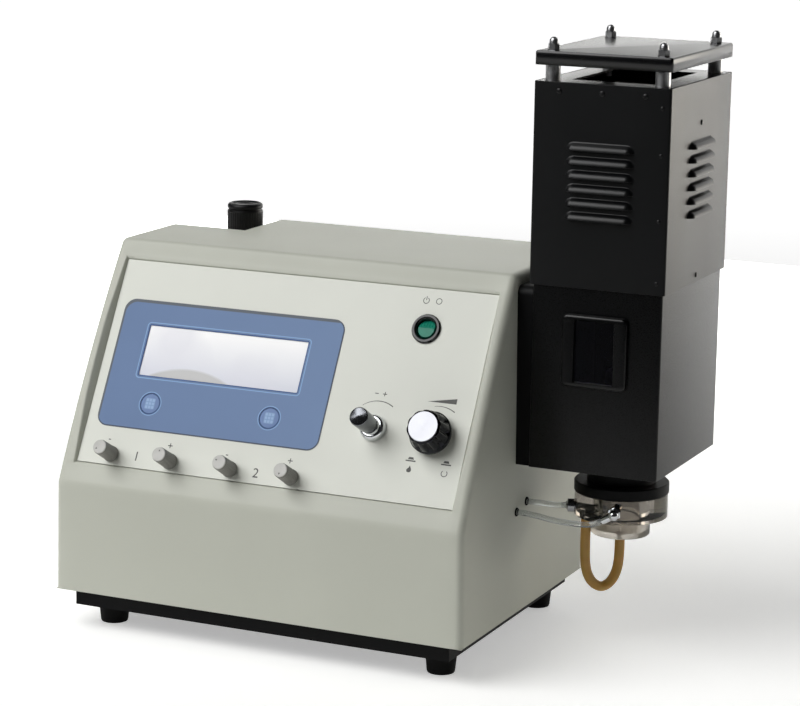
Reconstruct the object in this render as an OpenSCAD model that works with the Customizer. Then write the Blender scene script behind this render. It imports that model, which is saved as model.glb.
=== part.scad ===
// Bench flame photometer: a sloped-front cabinet with a flame tower on its right side.
// Millimetres. +Z is up, the control panel faces -Y and the flame tower stands on the +X side.
// The origin lies on the bench, under the middle of the whole instrument.

/* [Cabinet] */
// Width of the cabinet at its lower edge
cabinet_w = 310; // [300:1:330]
// Height of the cabinet above its lower edge
cabinet_h = 237; // [230:1:250]
// Depth of the cabinet
cabinet_d = 222; // [215:1:240]
// Height at which the upright lower front meets the slope
fascia_h = 77; // [70:1:84]
// Depth at which the slope meets the top
slope_top_y = 88.5; // [82:0.5:94]
// Outward bulge of the cheeks beside the control panel
slope_bulge = 3.6; // [2:0.1:5]
// Lean of each side wall towards the middle, over the full height
side_draft = 3.2; // [1:0.1:5]
// Thickness of the moulded walls
cabinet_wall = 3; // [2.5:0.1:4]
// Rounding of the moulded edges
edge_r = 5; // [3:0.5:7]
// Radius of the bend between the upright front and the slope
bend_r = 14; // [8:1:20]
// Width of the rear notch that the air regulator stands in
notch_w = 64.6; // [63:0.2:72]
// Depth of the rear notch
notch_d = 62.3; // [60:0.1:68]
// Width of the lip under the cabinet that rests on the base tray
lip_w = 22; // [19:1:28]
// Margin between the rear opening and the edge of the back
rear_rim = 12; // [9:1:16]

/* [Base] */
// Inset of the base tray from the cabinet's sides
tray_inset = 12; // [8:1:15]
// Inset of the base tray from the cabinet's front
tray_front = 8; // [4:1:12]
// Height of the base tray
tray_h = 12; // [8:0.5:16]
// Sheet thickness of the base tray
tray_t = 1.5; // [1:0.1:2.5]
// Height of the rubber feet
foot_h = 16; // [12:1:22]
// Radius of a foot at its top
foot_r = 11; // [9:0.5:13]
// Distance of the feet's centres from the cabinet's sides
foot_side = 28.5; // [24:0.5:36]
// Distance of the front feet's centres from the cabinet's front
foot_front = 33; // [26:0.5:40]
// Distance of the rear feet's centres from the cabinet's back
foot_rear = 16; // [15:0.5:22]

/* [Control panel] */
// Margin from the cabinet's side to the control panel
cheek_w = 12.5; // [11:0.5:15]
// Distance along the slope from the bend to the control panel
panel_up = 17.4; // [16:0.2:20]
// Length of the control panel along the slope
panel_h = 150; // [147:0.5:152]
// Depth of the control panel behind the line between the slope's ends
panel_sink = 1.4; // [1:0.1:2.4]
// Thickness of the control panel
panel_t = 2; // [1.5:0.1:3]
// Ledge behind the control panel
ledge_t = 3; // [2.5:0.1:4]
// Overlap of the ledge under the panel's edge
ledge_w = 7; // [4:0.5:7]
// Flare of the recess walls around the panel, in degrees
recess_flare = 33; // [20:1:40]

/* [Display and keys] */
// Distance of the overlay's middle from the cabinet's left side
overlay_u = 104.5; // [100:0.5:108]
// Distance of the overlay's middle from the panel's lower edge
overlay_v = 73.7; // [72:0.1:76]
// Width of the membrane overlay
overlay_w = 168.6; // [160:0.2:170]
// Height of the membrane overlay
overlay_h = 90.7; // [88:0.1:92]
// Corner radius of the overlay
overlay_r = 7; // [5:0.5:10]
// Thickness of the overlay
overlay_t = 0.5; // [0.4:0.1:0.6]
// Depth of the pocket that the overlay is stuck into
overlay_pocket = 0.8; // [0.7:0.1:1]
// Width of the display window
display_w = 121.5; // [110:0.5:124]
// Height of the display window
display_h = 34; // [30:0.5:36]
// Distance of the display window's middle from the overlay's middle, along the slope
display_up = 12.5; // [11:0.5:15]
// Distance of the keys' centres from the overlay's middle, down the slope
key_down = 27; // [25:0.5:30]
// Spacing of the two keys
key_pitch = 92.8; // [88:0.2:100]
// Radius of a key
key_r = 7.3; // [6:0.1:8]
// Travel of a key
key_travel = 0.5; // [0.3:0.05:0.6]

/* [Range knobs] */
// Distance of the first range knob from the cabinet's left side
range_first = 38.4; // [34:0.2:42]
// Spacing of the range knobs
range_pitch = 46.4; // [42:0.2:48]
// Distance of the range knobs from the panel's lower edge
range_v = 7.4; // [7:0.1:9]
// Radius of a range knob
range_knob_r = 4.7; // [4.2:0.1:5.2]
// Height of a range knob's face over the panel
range_knob_top = 19.5; // [17:0.5:22]
// Radius of a range control's shaft
range_shaft_r = 3; // [2:0.1:3.1]

/* [Power switch] */
// Distance of the power switch from the cabinet's right side
switch_u = 59.3; // [54:0.1:66]
// Distance of the power switch from the panel's lower edge
switch_v = 121.3; // [112:0.5:130]
// Radius of the switch's bezel
switch_bezel_r = 10.4; // [10:0.1:12]
// Radius of the rocker
rocker_r = 6.6; // [6:0.1:7]
// Angle that the rocker swings through
rocker_swing = 20; // [16:1:24]

/* [Valves] */
// Distance of the valves from the panel's lower edge
valve_v = 48.3; // [44:0.5:54]
// Distance of the fine adjustment valve from the cabinet's right side
fine_u = 81; // [78:0.5:86]
// Radius of the fine adjustment knob
fine_knob_r = 6.6; // [6:0.1:7.4]
// Height of the fine adjustment knob's face over the panel
fine_knob_top = 28.5; // [24:0.5:32]
// Radius of the collar under the fine adjustment knob
fine_collar_r = 9.2; // [8:0.1:10]
// Height of that collar
fine_collar_h = 7; // [6:0.5:9]
// Distance of the gas valve from the cabinet's right side
gas_u = 36.8; // [33:0.2:42]
// Radius of the gas knob at its skirt
gas_knob_r = 14.8; // [13.5:0.1:16]
// Height of the gas knob's face over the panel
gas_knob_top = 21.5; // [20:0.5:24]
// Travel of the gas knob when it is pushed to light the flame
gas_push = 3.5; // [2:0.5:4]
// Radius of the valves' spindles
spindle_r = 3; // [2.5:0.1:3.4]

/* [Flame tower] */
// Gap between the cabinet's lower edge and the flame chamber
tower_gap = 8.7; // [7:0.1:12]
// Width of the flame chamber
chamber_w = 91.2; // [84:0.2:98]
// Depth of the flame chamber
chamber_d = 122.2; // [112:0.2:126]
// Distance of the flame chamber's front from the cabinet's front
chamber_y = 88.7; // [85:0.1:92]
// Height of the flame chamber's floor
chamber_z = 105.9; // [103:0.1:110]
// Height of the seam where the chimney slips over the flame chamber
seam_z = 231.8; // [226:0.2:236]
// Height of the chimney's top
chimney_z = 367.6; // [350:0.2:385]
// Length of chimney that slips over the flame chamber
overlap_h = 9; // [6:0.5:14]
// Sheet thickness of the tower
sheet_t = 1.5; // [1.2:0.1:2]
// Play between the chimney and the flame chamber
slip_gap = 0.6; // [0.3:0.1:1]
// Number of louvres in each side of the chimney
louvre_count = 6; // [4:1:7]
// Spacing of the louvres
louvre_pitch = 9.2; // [8.5:0.1:10]
// Height of the lowest louvre's lip
louvre_z = 277.7; // [270:0.1:285]
// Radius of a louvre's hood
louvre_r = 4.4; // [3.5:0.1:5]
// Width of a front louvre between its rounded ends
louvre_front_w = 37; // [26:0.5:44]
// Width of a side louvre between its rounded ends
louvre_side_w = 37; // [30:0.5:50]
// Width of the chimney's top flange around the flue
flange_w = 19; // [17:0.5:22]
// Gap between the chimney's top and the heat plate's rim
plate_gap = 10.5; // [8:0.5:14]
// Height of the heat plate's turned-down rim
plate_rim = 9.5; // [7:0.5:12]
// Inset of the heat plate's pillars from the chimney's sides
pillar_inset = 9.5; // [8:0.5:10.5]
// Radius of a pillar
pillar_r = 5; // [4:0.1:6]

/* [Window] */
// Height of the window's middle
window_z = 189.5; // [180:0.5:195]
// Width of the window's opening
window_w = 28; // [24:0.5:34]
// Height of the window's opening
window_h = 42; // [36:0.5:48]
// Width of the window frame around the opening
window_rim_w = 9; // [7:0.5:12]
// Height of the window frame above and below the opening
window_rim_h = 3.6; // [3.2:0.2:6]
// Distance that the window frame stands proud
window_proud = 4; // [3:0.2:6]

/* [Burner and mixing chamber] */
// Radius of the black mixing-chamber flange
ring_r = 32.8; // [30:0.2:36]
// Height of the flange's underside
ring_z = 81; // [78:0.5:84]
// Thickness of the flange
ring_t = 8; // [6:0.5:10]
// Radius of the clear mixing chamber
disc_r = 32.3; // [30:0.1:34]
// Height of the clear mixing chamber
disc_t = 16.5; // [14:0.5:18]
// Radius of the drain cup
cup_r = 20.4; // [18:0.2:22]
// Height of the drain cup
cup_h = 13.5; // [12:0.5:15]
// Radius of the burner's head
burner_r = 13; // [10:0.5:16]
// Height of the burner's top
burner_top = 166; // [158:0.5:172]

/* [Air regulator] */
// Distance of the regulator's axis from the notch's side wall
regulator_in = 22.1; // [21:0.1:26]
// Distance of the regulator's axis from the cabinet's back
regulator_back = 19; // [18:0.5:22]
// Height of the regulator knob's top over the cabinet's top
regulator_rise = 13; // [8:0.5:20]
// Radius of the regulator knob
regulator_knob_r = 14.6; // [13:0.1:16]
// Height of the regulator knob
regulator_knob_h = 28; // [24:0.5:32]

/* [Hose connections] */
// Radius of the gas and air hose spigots
spigot_r = 4; // [3:0.1:5]
// Length of the hose spigots
spigot_len = 16; // [12:0.5:20]

/* [Hidden] */

// Clearances and small fits
thin = 0.01;
cut = 1;
fit_gap = 0.3;
run_gap = 0.05;
$fn = 48;

// Places that follow from the driving sizes
foot_drop = tray_h + foot_h;
slope_run = cabinet_h - fascia_h;
slope_lean = atan(slope_top_y / slope_run);
slope_len = norm([slope_top_y, slope_run]);
side_lean = side_draft / cabinet_h;
panel_w = cabinet_w - 2 * cheek_w;
switch_x = cabinet_w - switch_u;
fine_x = cabinet_w - fine_u;
gas_x = cabinet_w - gas_u;
tower_x = cabinet_w + tower_gap;
chimney_out = sheet_t + slip_gap;
chimney_x = tower_x - chimney_out;
chimney_y = chamber_y - chimney_out;
chimney_w = chamber_w + 2 * chimney_out;
chimney_d = chamber_d + 2 * chimney_out;
burner_x = tower_x + chamber_w / 2;
burner_y = chamber_y + chamber_d / 2;
plate_z = chimney_z + plate_gap;
regulator_x = notch_w - regulator_in;
regulator_y = cabinet_d - regulator_back;
cover_t = 2;
range_chamfer = 0.6;

// The box round the whole instrument, in the cabinet's own frame
spigot_collar = 6;
box_x1 = chimney_x + chimney_w + louvre_r;
box_y0 = panel_point(0, range_v, range_knob_top)[1] - (range_knob_r - range_chamfer) * sin(slope_lean);
box_y1 = cabinet_d + cover_t + spigot_collar + spigot_len;
mid_x = box_x1 / 2;
mid_y = (box_y0 + box_y1) / 2;

// A point of the control panel: u from the left side, v up the slope, h out of its face
function panel_point(u, v, h) = [u,
    (panel_up + v) * sin(slope_lean) + (panel_sink - h) * cos(slope_lean),
    fascia_h + (panel_up + v) * cos(slope_lean) - (panel_sink - h) * sin(slope_lean)];

module in_cabinet() {
    translate([-mid_x, -mid_y, foot_drop]) children();
}

module on_panel(u, v, h = 0) {
    in_cabinet() translate(panel_point(u, v, h)) rotate([90 - slope_lean, 0, 0]) children();
}

module rounded_rect(w, h, r) {
    square([w - 2 * r, h], center = true);
    square([w, h - 2 * r], center = true);
    for (x = [-1, 1], y = [-1, 1]) translate([x * (w / 2 - r), y * (h / 2 - r)]) circle(r);
}

// Sweeps a round tube along a list of points; side is a direction that no stretch runs along
function unit(a) = a / norm(a);
function along(p, i) = unit(p[min(i + 1, len(p) - 1)] - p[max(i - 1, 0)]);
function tube_ring(p, i, r, n, side) =
    let (t = along(p, i), a = unit(cross(t, side)), b = cross(t, a))
    [for (k = [0:n - 1]) p[i] + r * (cos(360 * k / n) * a + sin(360 * k / n) * b)];
module swept_tube(p, r, n, side) {
    last = len(p) - 1;
    polyhedron(
        points = [for (i = [0:last]) each tube_ring(p, i, r, n, side)],
        faces = concat(
            [[for (k = [0:n - 1]) k]],
            [for (i = [0:last - 1], k = [0:n - 1])
                each [[i * n + k, (i + 1) * n + k, (i + 1) * n + (k + 1) % n],
                      [i * n + k, (i + 1) * n + (k + 1) % n, i * n + (k + 1) % n]]],
            [[for (k = [n - 1:-1:0]) last * n + k]]));
}

// ---- Cabinet -------------------------------------------------------------------------------

// Side view of the cabinet as [depth, height]: upright front, bend, bulged slope, top and back
function arc(c, r, a0, a1, n) =
    [for (i = [1:n]) c + r * [cos(a0 + (a1 - a0) * i / n), sin(a0 + (a1 - a0) * i / n)]];
bulge_r = (pow(slope_len / 2, 2) + pow(slope_bulge, 2)) / (2 * slope_bulge);
bulge_c = [slope_top_y / 2 + (bulge_r - slope_bulge) * cos(slope_lean),
    (fascia_h + cabinet_h) / 2 - (bulge_r - slope_bulge) * sin(slope_lean)];
bend_c = [bend_r,
    bulge_c[1] + sqrt(pow(bulge_r - bend_r, 2) - pow(bulge_c[0] - bend_r, 2))];
crest_c = [bulge_c[0] - sqrt(pow(bulge_r - edge_r, 2) - pow(cabinet_h - edge_r - bulge_c[1], 2)),
    cabinet_h - edge_r];
bend_a = atan2(bend_c[1] - bulge_c[1], bend_c[0] - bulge_c[0]);
crest_a = atan2(crest_c[1] - bulge_c[1], crest_c[0] - bulge_c[0]);
skirt = 3 * edge_r;
side_view = concat([[0, -skirt], [0, bend_c[1]]],
    arc(bend_c, bend_r, 180, bend_a, 5),
    arc(bulge_c, bulge_r, bend_a, crest_a, 10),
    arc(crest_c, edge_r, crest_a, 90, 4),
    [[cabinet_d - edge_r, cabinet_h]],
    arc([cabinet_d - edge_r, cabinet_h - edge_r], edge_r, 90, 0, 4),
    [[cabinet_d, -skirt]]);

// One thin slice of the cabinet: inset all round, standing in from the leaning side
slice_t = 0.5;
module side_slice(side, stand_in, inset) {
    multmatrix([[1, 0, -side * side_lean, cabinet_w / 2 + side * (cabinet_w / 2 - stand_in)],
                [0, 1, 0, 0], [0, 0, 1, 0], [0, 0, 0, 1]])
        rotate([90, 0, 90]) translate([0, 0, side > 0 ? -slice_t : 0]) linear_extrude(slice_t)
            offset(delta = -inset) polygon(side_view);
}

// The cabinet's outside, with rounded edges made of three slices a side
module cabinet_form() {
    hull() for (side = [-1, 1], t = [0, 45, 90])
        side_slice(side, edge_r * (1 - sin(t)), 0.9 * edge_r * (1 - cos(t)));
}

module cabinet_inside() {
    hull() for (side = [-1, 1]) side_slice(side, cabinet_wall, cabinet_wall);
}

// Everything behind the control panel's own plane, at a depth below its face
module above_panel(depth) {
    translate(panel_point(-cabinet_w / 2, -cabinet_h / 2, -depth)) rotate([90 - slope_lean, 0, 0])
        cube([2 * cabinet_w, 2 * cabinet_h, cabinet_d]);
}

module notch_block(grow) {
    translate([-cabinet_w, cabinet_d - notch_d - grow, -cut])
        cube([cabinet_w + notch_w + grow, cabinet_d, cabinet_h + 2 * cut]);
}

// A hole through the right wall, along X
module wall_hole(y, z, r) {
    translate([cabinet_w - side_draft - 2 * cabinet_wall, y, z]) rotate([0, 90, 0])
        cylinder(r = r, h = side_draft + 4 * cabinet_wall);
}

port_r = 2.2;
grommet_r = 4.2;
light_r = 15;
air_port = [111.7, 75.3];
gas_port = [93.6, 71.8];
recess_rise = 9;

function recess_size(h) = [for (side = [panel_w, panel_h])
    side + 2 * fit_gap + 2 * h * tan(recess_flare)];
module recess_flare_cut() {
    hull() for (h = [-0.5, recess_rise])
        translate([0, 0, h]) linear_extrude(thin) square(recess_size(h), center = true);
}

module housing_shell() color([0.83, 0.83, 0.79]) in_cabinet() difference() {
    intersection() {
        cabinet_form();
        translate([-cut, -cut, 0])
            cube([cabinet_w + 2 * cut, cabinet_d + 2 * cut, cabinet_h + cut]);
    }
    notch_block(0);
    // hollow, closed below by a lip
    difference() {
        cabinet_inside();
        above_panel(panel_t + ledge_t);
        notch_block(cabinet_wall);
        translate([-cut, -cut, -cabinet_h]) cube([cabinet_w + 2 * cut, cabinet_d + 2 * cut,
            cabinet_h + cabinet_wall]);
    }
    difference() {
        translate([lip_w, lip_w, -cut])
            cube([cabinet_w - 2 * lip_w, cabinet_d - 2 * lip_w, cabinet_wall + 2 * cut]);
        notch_block(lip_w);
    }
    // opening behind the rear cover
    translate([notch_w + rear_rim, cabinet_d - cabinet_wall - cut, rear_rim])
        cube([cabinet_w - notch_w - side_draft - 2 * rear_rim, cabinet_wall + 2 * cut,
            cabinet_h - 2 * rear_rim]);
    // recess of the control panel: upright at the plate's edge, flared above it
    translate(panel_point(cabinet_w / 2, panel_h / 2, 0)) rotate([90 - slope_lean, 0, 0]) {
        translate([-panel_w / 2 - fit_gap, -panel_h / 2 - fit_gap, -panel_t])
            cube([panel_w + 2 * fit_gap, panel_h + 2 * fit_gap, panel_t + cut]);
        recess_flare_cut();
        translate([-panel_w / 2 + ledge_w, -panel_h / 2 + ledge_w, -panel_t - ledge_t - cut])
            cube([panel_w - 2 * ledge_w, panel_h - 2 * ledge_w, ledge_t + 2 * cut]);
        // scallops in the ledge behind the range controls
        for (i = [0:3]) translate([range_first + i * range_pitch - cabinet_w / 2,
                range_v - panel_h / 2, -panel_t - ledge_t - cut])
            cylinder(r = pot_w * 0.75, h = ledge_t + 2 * cut);
    }
    // tube grommets and the light path to the flame tower
    wall_hole(air_port[0], air_port[1], grommet_r);
    wall_hole(gas_port[0], gas_port[1], grommet_r);
    wall_hole(burner_y, window_z, light_r);
}

// Flat sheet over the rear opening, with a block of vent slots
vent_count = 9;
inlet_x = 112;
inlet_z = 42;
gas_in_x = 262;
gas_in_z = 42;
cover_x0 = notch_w + rear_rim / 2;
cover_w = cabinet_w - notch_w - side_draft - rear_rim;
cover_z0 = rear_rim / 2;
cover_h = cabinet_h - rear_rim;
cover_screw_in = 3.2;
cover_screw_r = 1.5;
cover_screw_places = [
    for (x = [cover_x0 + cover_screw_in, cover_x0 + cover_w / 2, cover_x0 + cover_w - cover_screw_in],
        z = [cover_z0 + cover_screw_in, cover_z0 + cover_h - cover_screw_in]) [x, z]];
module rear_cover() color([0.80, 0.80, 0.76]) in_cabinet() difference() {
    translate([cover_x0 + cover_w / 2, cabinet_d, cover_z0 + cover_h / 2]) rotate([-90, 0, 0])
        linear_extrude(cover_t) rounded_rect(cover_w, cover_h, 5);
    for (i = [0:vent_count - 1]) translate([cover_x0 + cover_w / 2 - 34 + i * 8.5,
            cabinet_d - cut, cover_z0 + cover_h * 0.55]) {
        cube([3.5, cover_t + 2 * cut, cover_h * 0.28]);
    }
    translate([inlet_x - 13.8, cabinet_d - cut, inlet_z - 10])
        cube([27.6, cover_t + 2 * cut, 20]);
    translate([gas_in_x, cabinet_d - cut, gas_in_z]) rotate([-90, 0, 0])
        cylinder(r = spigot_r + 0.2, h = cover_t + 2 * cut);
    for (p = cover_screw_places) translate([p[0], cabinet_d - cut, p[1]]) rotate([-90, 0, 0])
        cylinder(r = cover_screw_r + 0.1, h = cover_t + 2 * cut);
}

// Steel tray that the cabinet's lip rests on
tray_w = cabinet_w - 2 * tray_inset;
tray_d = cabinet_d - tray_front - 2;
tray_flange = 12;
module base_tray() color([0.07, 0.07, 0.08]) in_cabinet() difference() {
    translate([tray_inset, tray_front, -tray_h]) cube([tray_w, tray_d, tray_h]);
    translate([tray_inset + tray_t, tray_front + tray_t, -tray_h + tray_t])
        cube([tray_w - 2 * tray_t, tray_d - 2 * tray_t, tray_h - 2 * tray_t]);
    translate([tray_inset + tray_flange, tray_front + tray_flange, -tray_h + tray_t])
        cube([tray_w - 2 * tray_flange, tray_d - 2 * tray_flange, tray_h + cut]);
    for (p = foot_places) translate([p[0], p[1], -tray_h - cut])
        cylinder(r = foot_screw_r, h = tray_t + 2 * cut);
}

foot_places = [[foot_side, foot_front], [cabinet_w - foot_side, foot_front],
    [foot_side, cabinet_d - foot_rear], [cabinet_w - foot_side, cabinet_d - foot_rear]];
foot_screw_r = 2.1;
foot_sink = 6;
module rubber_feet() color([0.05, 0.05, 0.05]) in_cabinet() for (p = foot_places)
    translate([p[0], p[1], -foot_drop]) rotate_extrude() difference() {
        polygon([[foot_screw_r, 0], [foot_r * 0.84, 0], [foot_r * 0.88, 1], [foot_r, foot_h - 2],
            [foot_r, foot_h], [foot_screw_r, foot_h]]);
        translate([0, -cut]) square([foot_r * 0.45, foot_sink + cut]);
    }

// Pan-head screws: one up through each foot and six in the rear cover
module pan_screw(head_r, shank_r, length) {
    rotate_extrude() polygon([[0, -length], [shank_r, -length], [shank_r, 0], [head_r, 0],
        [head_r, head_r * 0.35], [head_r * 0.75, head_r * 0.65], [0, head_r * 0.75]]);
}
module cabinet_screws() color([0.6, 0.6, 0.6]) in_cabinet() {
    for (p = foot_places) translate([p[0], p[1], -foot_drop + foot_sink]) rotate([180, 0, 0])
        pan_screw(foot_r * 0.36, foot_screw_r - 0.1, foot_h - foot_sink + tray_t + 2);
    for (p = cover_screw_places) translate([p[0], cabinet_d + cover_t, p[1]]) rotate([-90, 0, 0])
        pan_screw(2 * cover_screw_r, cover_screw_r, cover_t);
}

// ---- Control panel -------------------------------------------------------------------------

pot_w = 12;
switch_hole_r = switch_bezel_r - 0.8;
fine_bush_r = 5;
gas_bush_r = 6;
key_hole_r = key_r + fit_gap;
function key_u(side) = overlay_u + side * key_pitch / 2;
key_v = overlay_v - key_down;
display_v = overlay_v + display_up;

module control_panel() color([0.84, 0.85, 0.81]) difference() {
    on_panel(cheek_w, 0, -panel_t) cube([panel_w, panel_h, panel_t]);
    on_panel(overlay_u, overlay_v, -overlay_pocket) linear_extrude(overlay_pocket + cut)
        rounded_rect(overlay_w + fit_gap, overlay_h + fit_gap, overlay_r);
    on_panel(overlay_u - display_w / 2, display_v - display_h / 2, -panel_t - cut)
        cube([display_w, display_h, panel_t + 2 * cut]);
    for (side = [-1, 1]) on_panel(key_u(side), key_v, -panel_t - cut)
        cylinder(r = key_hole_r + 0.3, h = panel_t + 2 * cut);
    for (i = [0:3]) on_panel(range_first + i * range_pitch, range_v, -panel_t - cut)
        cylinder(r = range_shaft_r + 0.4, h = panel_t + 2 * cut);
    on_panel(switch_x, switch_v, -panel_t - cut) cylinder(r = switch_hole_r, h = panel_t + 2 * cut);
    on_panel(fine_x, valve_v, -panel_t - cut) cylinder(r = fine_bush_r + 0.1, h = panel_t + 2 * cut);
    on_panel(gas_x, valve_v, -panel_t - cut) cylinder(r = gas_bush_r + 0.1, h = panel_t + 2 * cut);
}

// Printed film with a window and two round key fields
module membrane_overlay() color([0.36, 0.45, 0.66]) difference() {
    on_panel(overlay_u, overlay_v, -overlay_pocket) linear_extrude(overlay_t)
        rounded_rect(overlay_w, overlay_h, overlay_r);
    on_panel(overlay_u, display_v, -overlay_pocket - cut) linear_extrude(overlay_t + 2 * cut)
        square([display_w - 4, display_h - 4], center = true);
    for (side = [-1, 1]) on_panel(key_u(side), key_v, -overlay_pocket - cut)
        cylinder(r = key_hole_r, h = overlay_t + 2 * cut);
}

// Clear lens between the film and the display
module display_window() color([0.86, 0.88, 0.92, 0.6])
    on_panel(overlay_u, display_v, -panel_t) linear_extrude(panel_t - overlay_pocket)
        square([display_w - 0.4, display_h - 0.4], center = true);

// Liquid crystal display in its folded metal frame
module display_module() color([0.55, 0.57, 0.58]) {
    difference() {
        on_panel(overlay_u, display_v, -panel_t - 9) linear_extrude(9)
            square([display_w + 20, display_h + 14], center = true);
        on_panel(overlay_u, display_v, -panel_t - 1.2) linear_extrude(1.2 + cut)
            square([display_w - 2, display_h - 2], center = true);
    }
}

board_t = 1.6;
module display_board() color([0.1, 0.35, 0.2]) {
    on_panel(overlay_u, overlay_v, -panel_t - 9 - board_t) linear_extrude(board_t)
        square([overlay_w - 14, overlay_h - 8], center = true);
    for (side = [-1, 1]) on_panel(key_u(side), key_v, -panel_t - 9) {
        translate([-3, -3, 0]) cube([6, 6, 4]);
        cylinder(r = 1.75, h = panel_t + 9 - overlay_pocket - key_travel - 0.6);
    }
}

module membrane_key(side) color([0.40, 0.49, 0.70])
    on_panel(key_u(side), key_v, -overlay_pocket - 0.3)
        cylinder(r = key_r, h = overlay_t + 0.4);
module key_left() membrane_key(-1);
module key_right() membrane_key(1);

// ---- Range controls ------------------------------------------------------------------------

module range_pots() color([0.15, 0.3, 0.5]) for (i = [0:3])
    difference() {
        on_panel(range_first + i * range_pitch, range_v, -panel_t - 8) translate([0, 0, 4])
            cube([pot_w, pot_w, 8], center = true);
        on_panel(range_first + i * range_pitch, range_v, -panel_t - 6)
            cylinder(r = range_shaft_r + run_gap, h = 8);
    }

range_flutes = 20;
module range_knob(i) color([0.80, 0.79, 0.77])
    on_panel(range_first + i * range_pitch, range_v) difference() {
        rotate_extrude() polygon([[0, 1], [range_knob_r + 0.3, 1], [range_knob_r + 0.3, 2.2],
            [range_knob_r, 3], [range_knob_r, range_knob_top - range_chamfer],
            [range_knob_r - range_chamfer, range_knob_top], [0, range_knob_top]]);
        for (k = [0:range_flutes - 1]) rotate(360 * k / range_flutes)
            translate([range_knob_r + 0.15, 0, 3]) cylinder(r = 0.45, h = range_knob_top - 6, $fn = 16);
        translate([0, 0, -cut]) cylinder(r = range_shaft_r + run_gap, h = range_knob_top - 4);
        rotate(range_turn[i]) translate([range_knob_r * 0.35, -0.35, range_knob_top - 0.4])
            cube([range_knob_r, 0.7, cut]);
    }
range_turn = [118, 64, 150, 96];
module range_knob_1() range_knob(0);
module range_knob_2() range_knob(1);
module range_knob_3() range_knob(2);
module range_knob_4() range_knob(3);

module range_shaft(i) color([0.75, 0.75, 0.76])
    on_panel(range_first + i * range_pitch, range_v, -panel_t - 5.7)
        cylinder(r = range_shaft_r, h = panel_t + 5.7 + range_knob_top - 6);
module range_shaft_1() range_shaft(0);
module range_shaft_2() range_shaft(1);
module range_shaft_3() range_shaft(2);
module range_shaft_4() range_shaft(3);

// ---- Power switch --------------------------------------------------------------------------

rocker_axis = 3;
rocker_well = rocker_r + fit_gap;
rocker_pin_r = 1.2;
module power_switch_body() color([0.06, 0.06, 0.07]) on_panel(switch_x, switch_v) difference() {
    rotate_extrude() polygon([[0, -20], [switch_hole_r - 0.2, -20], [switch_hole_r - 0.2, 0],
        [switch_bezel_r, 0], [switch_bezel_r, 1], [switch_bezel_r - 0.8, 2],
        [switch_bezel_r - 1.6, 2], [rocker_well, 0.4], [rocker_well, -11.5], [0, -11.5]]);
    translate([-switch_hole_r + 1, 0, -rocker_axis]) rotate([0, 90, 0])
        cylinder(r = rocker_pin_r + run_gap, h = 2 * switch_hole_r - 2);
}

// Green rocker: two flats that meet in a ridge, ribbed above, rounded about its own pin
module power_rocker() color([0.15, 0.55, 0.42])
    on_panel(switch_x, switch_v, -rocker_axis) {
        rotate([-rocker_swing / 2, 0, 0]) difference() {
            intersection() {
                translate([0, 0, -5]) cylinder(r = rocker_r, h = 14);
                sphere(rocker_r + 0.1);
                rotate([90, 0, 90]) linear_extrude(3 * rocker_r, center = true)
                    polygon([[-rocker_r, -5], [rocker_r, -5],
                        [rocker_r, rocker_axis + 0.4 - rocker_r * tan(rocker_swing / 2)],
                        [0, rocker_axis + 0.6],
                        [-rocker_r, rocker_axis + 0.4 - rocker_r * tan(rocker_swing / 2)]]);
            }
            for (k = [-2:2]) translate([k * 2, 0.8, rocker_axis - 1.2]) rotate([90 - rocker_swing / 2, 0, 0])
                translate([0, 1.7, -rocker_r]) cylinder(r = 0.35, h = rocker_r, $fn = 16);
        }
        rotate([0, 90, 0]) cylinder(r = rocker_pin_r, h = 2 * switch_hole_r - 3, center = true);
    }

// ---- Valves --------------------------------------------------------------------------------

module fine_valve_body() color([0.78, 0.66, 0.38]) on_panel(fine_x, valve_v) difference() {
    rotate_extrude() polygon([[0, -28], [9, -28], [9, -panel_t], [fine_bush_r, -panel_t],
        [fine_bush_r, 3], [0, 3]]);
    translate([0, 0, -24]) cylinder(r = spindle_r + run_gap, h = 30);
}

// Polished dome nut that holds the fine adjustment valve in the panel
module fine_valve_collar() color([0.8, 0.81, 0.83]) on_panel(fine_x, valve_v) difference() {
    rotate_extrude() polygon(concat([[0, 0], [fine_collar_r, 0], [fine_collar_r, 1.2]],
        [for (a = [0:18:72]) [fine_collar_r - 2.6 + 2.2 * cos(a), 1.6 + (fine_collar_h - 3.4) * sin(a)]],
        [[fine_collar_r - 2.4, fine_collar_h - 1.4], [fine_collar_r - 3, fine_collar_h],
         [0, fine_collar_h]]));
    translate([0, 0, -cut]) cylinder(r = fine_bush_r + 0.1, h = 4.1);
    cylinder(r = spindle_r + 0.4, h = fine_collar_h + cut);
}

module fine_valve_stem() color([0.75, 0.75, 0.76]) on_panel(fine_x, valve_v, -23.7)
    cylinder(r = spindle_r, h = 23.7 + fine_knob_top - 6);

module fine_valve_knob() color([0.42, 0.43, 0.46]) on_panel(fine_x, valve_v) difference() {
    rotate_extrude() polygon([[0, fine_collar_h + 0.5], [fine_knob_r - 1.2, fine_collar_h + 0.5],
        [fine_knob_r - 0.5, fine_collar_h + 2.5], [fine_knob_r, fine_collar_h + 6],
        [fine_knob_r, fine_knob_top - 0.8], [fine_knob_r - 0.8, fine_knob_top],
        [0, fine_knob_top - 0.5]]);
    cylinder(r = spindle_r + run_gap, h = fine_knob_top - 4);
}

module gas_valve_body() color([0.78, 0.66, 0.38]) on_panel(gas_x, valve_v) difference() {
    rotate_extrude() polygon([[0, -34], [13, -34], [13, -panel_t], [gas_bush_r, -panel_t],
        [gas_bush_r, 1.2], [0, 1.2]]);
    translate([0, 0, -26 - gas_push]) cylinder(r = spindle_r + run_gap, h = 30 + gas_push);
}

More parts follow.
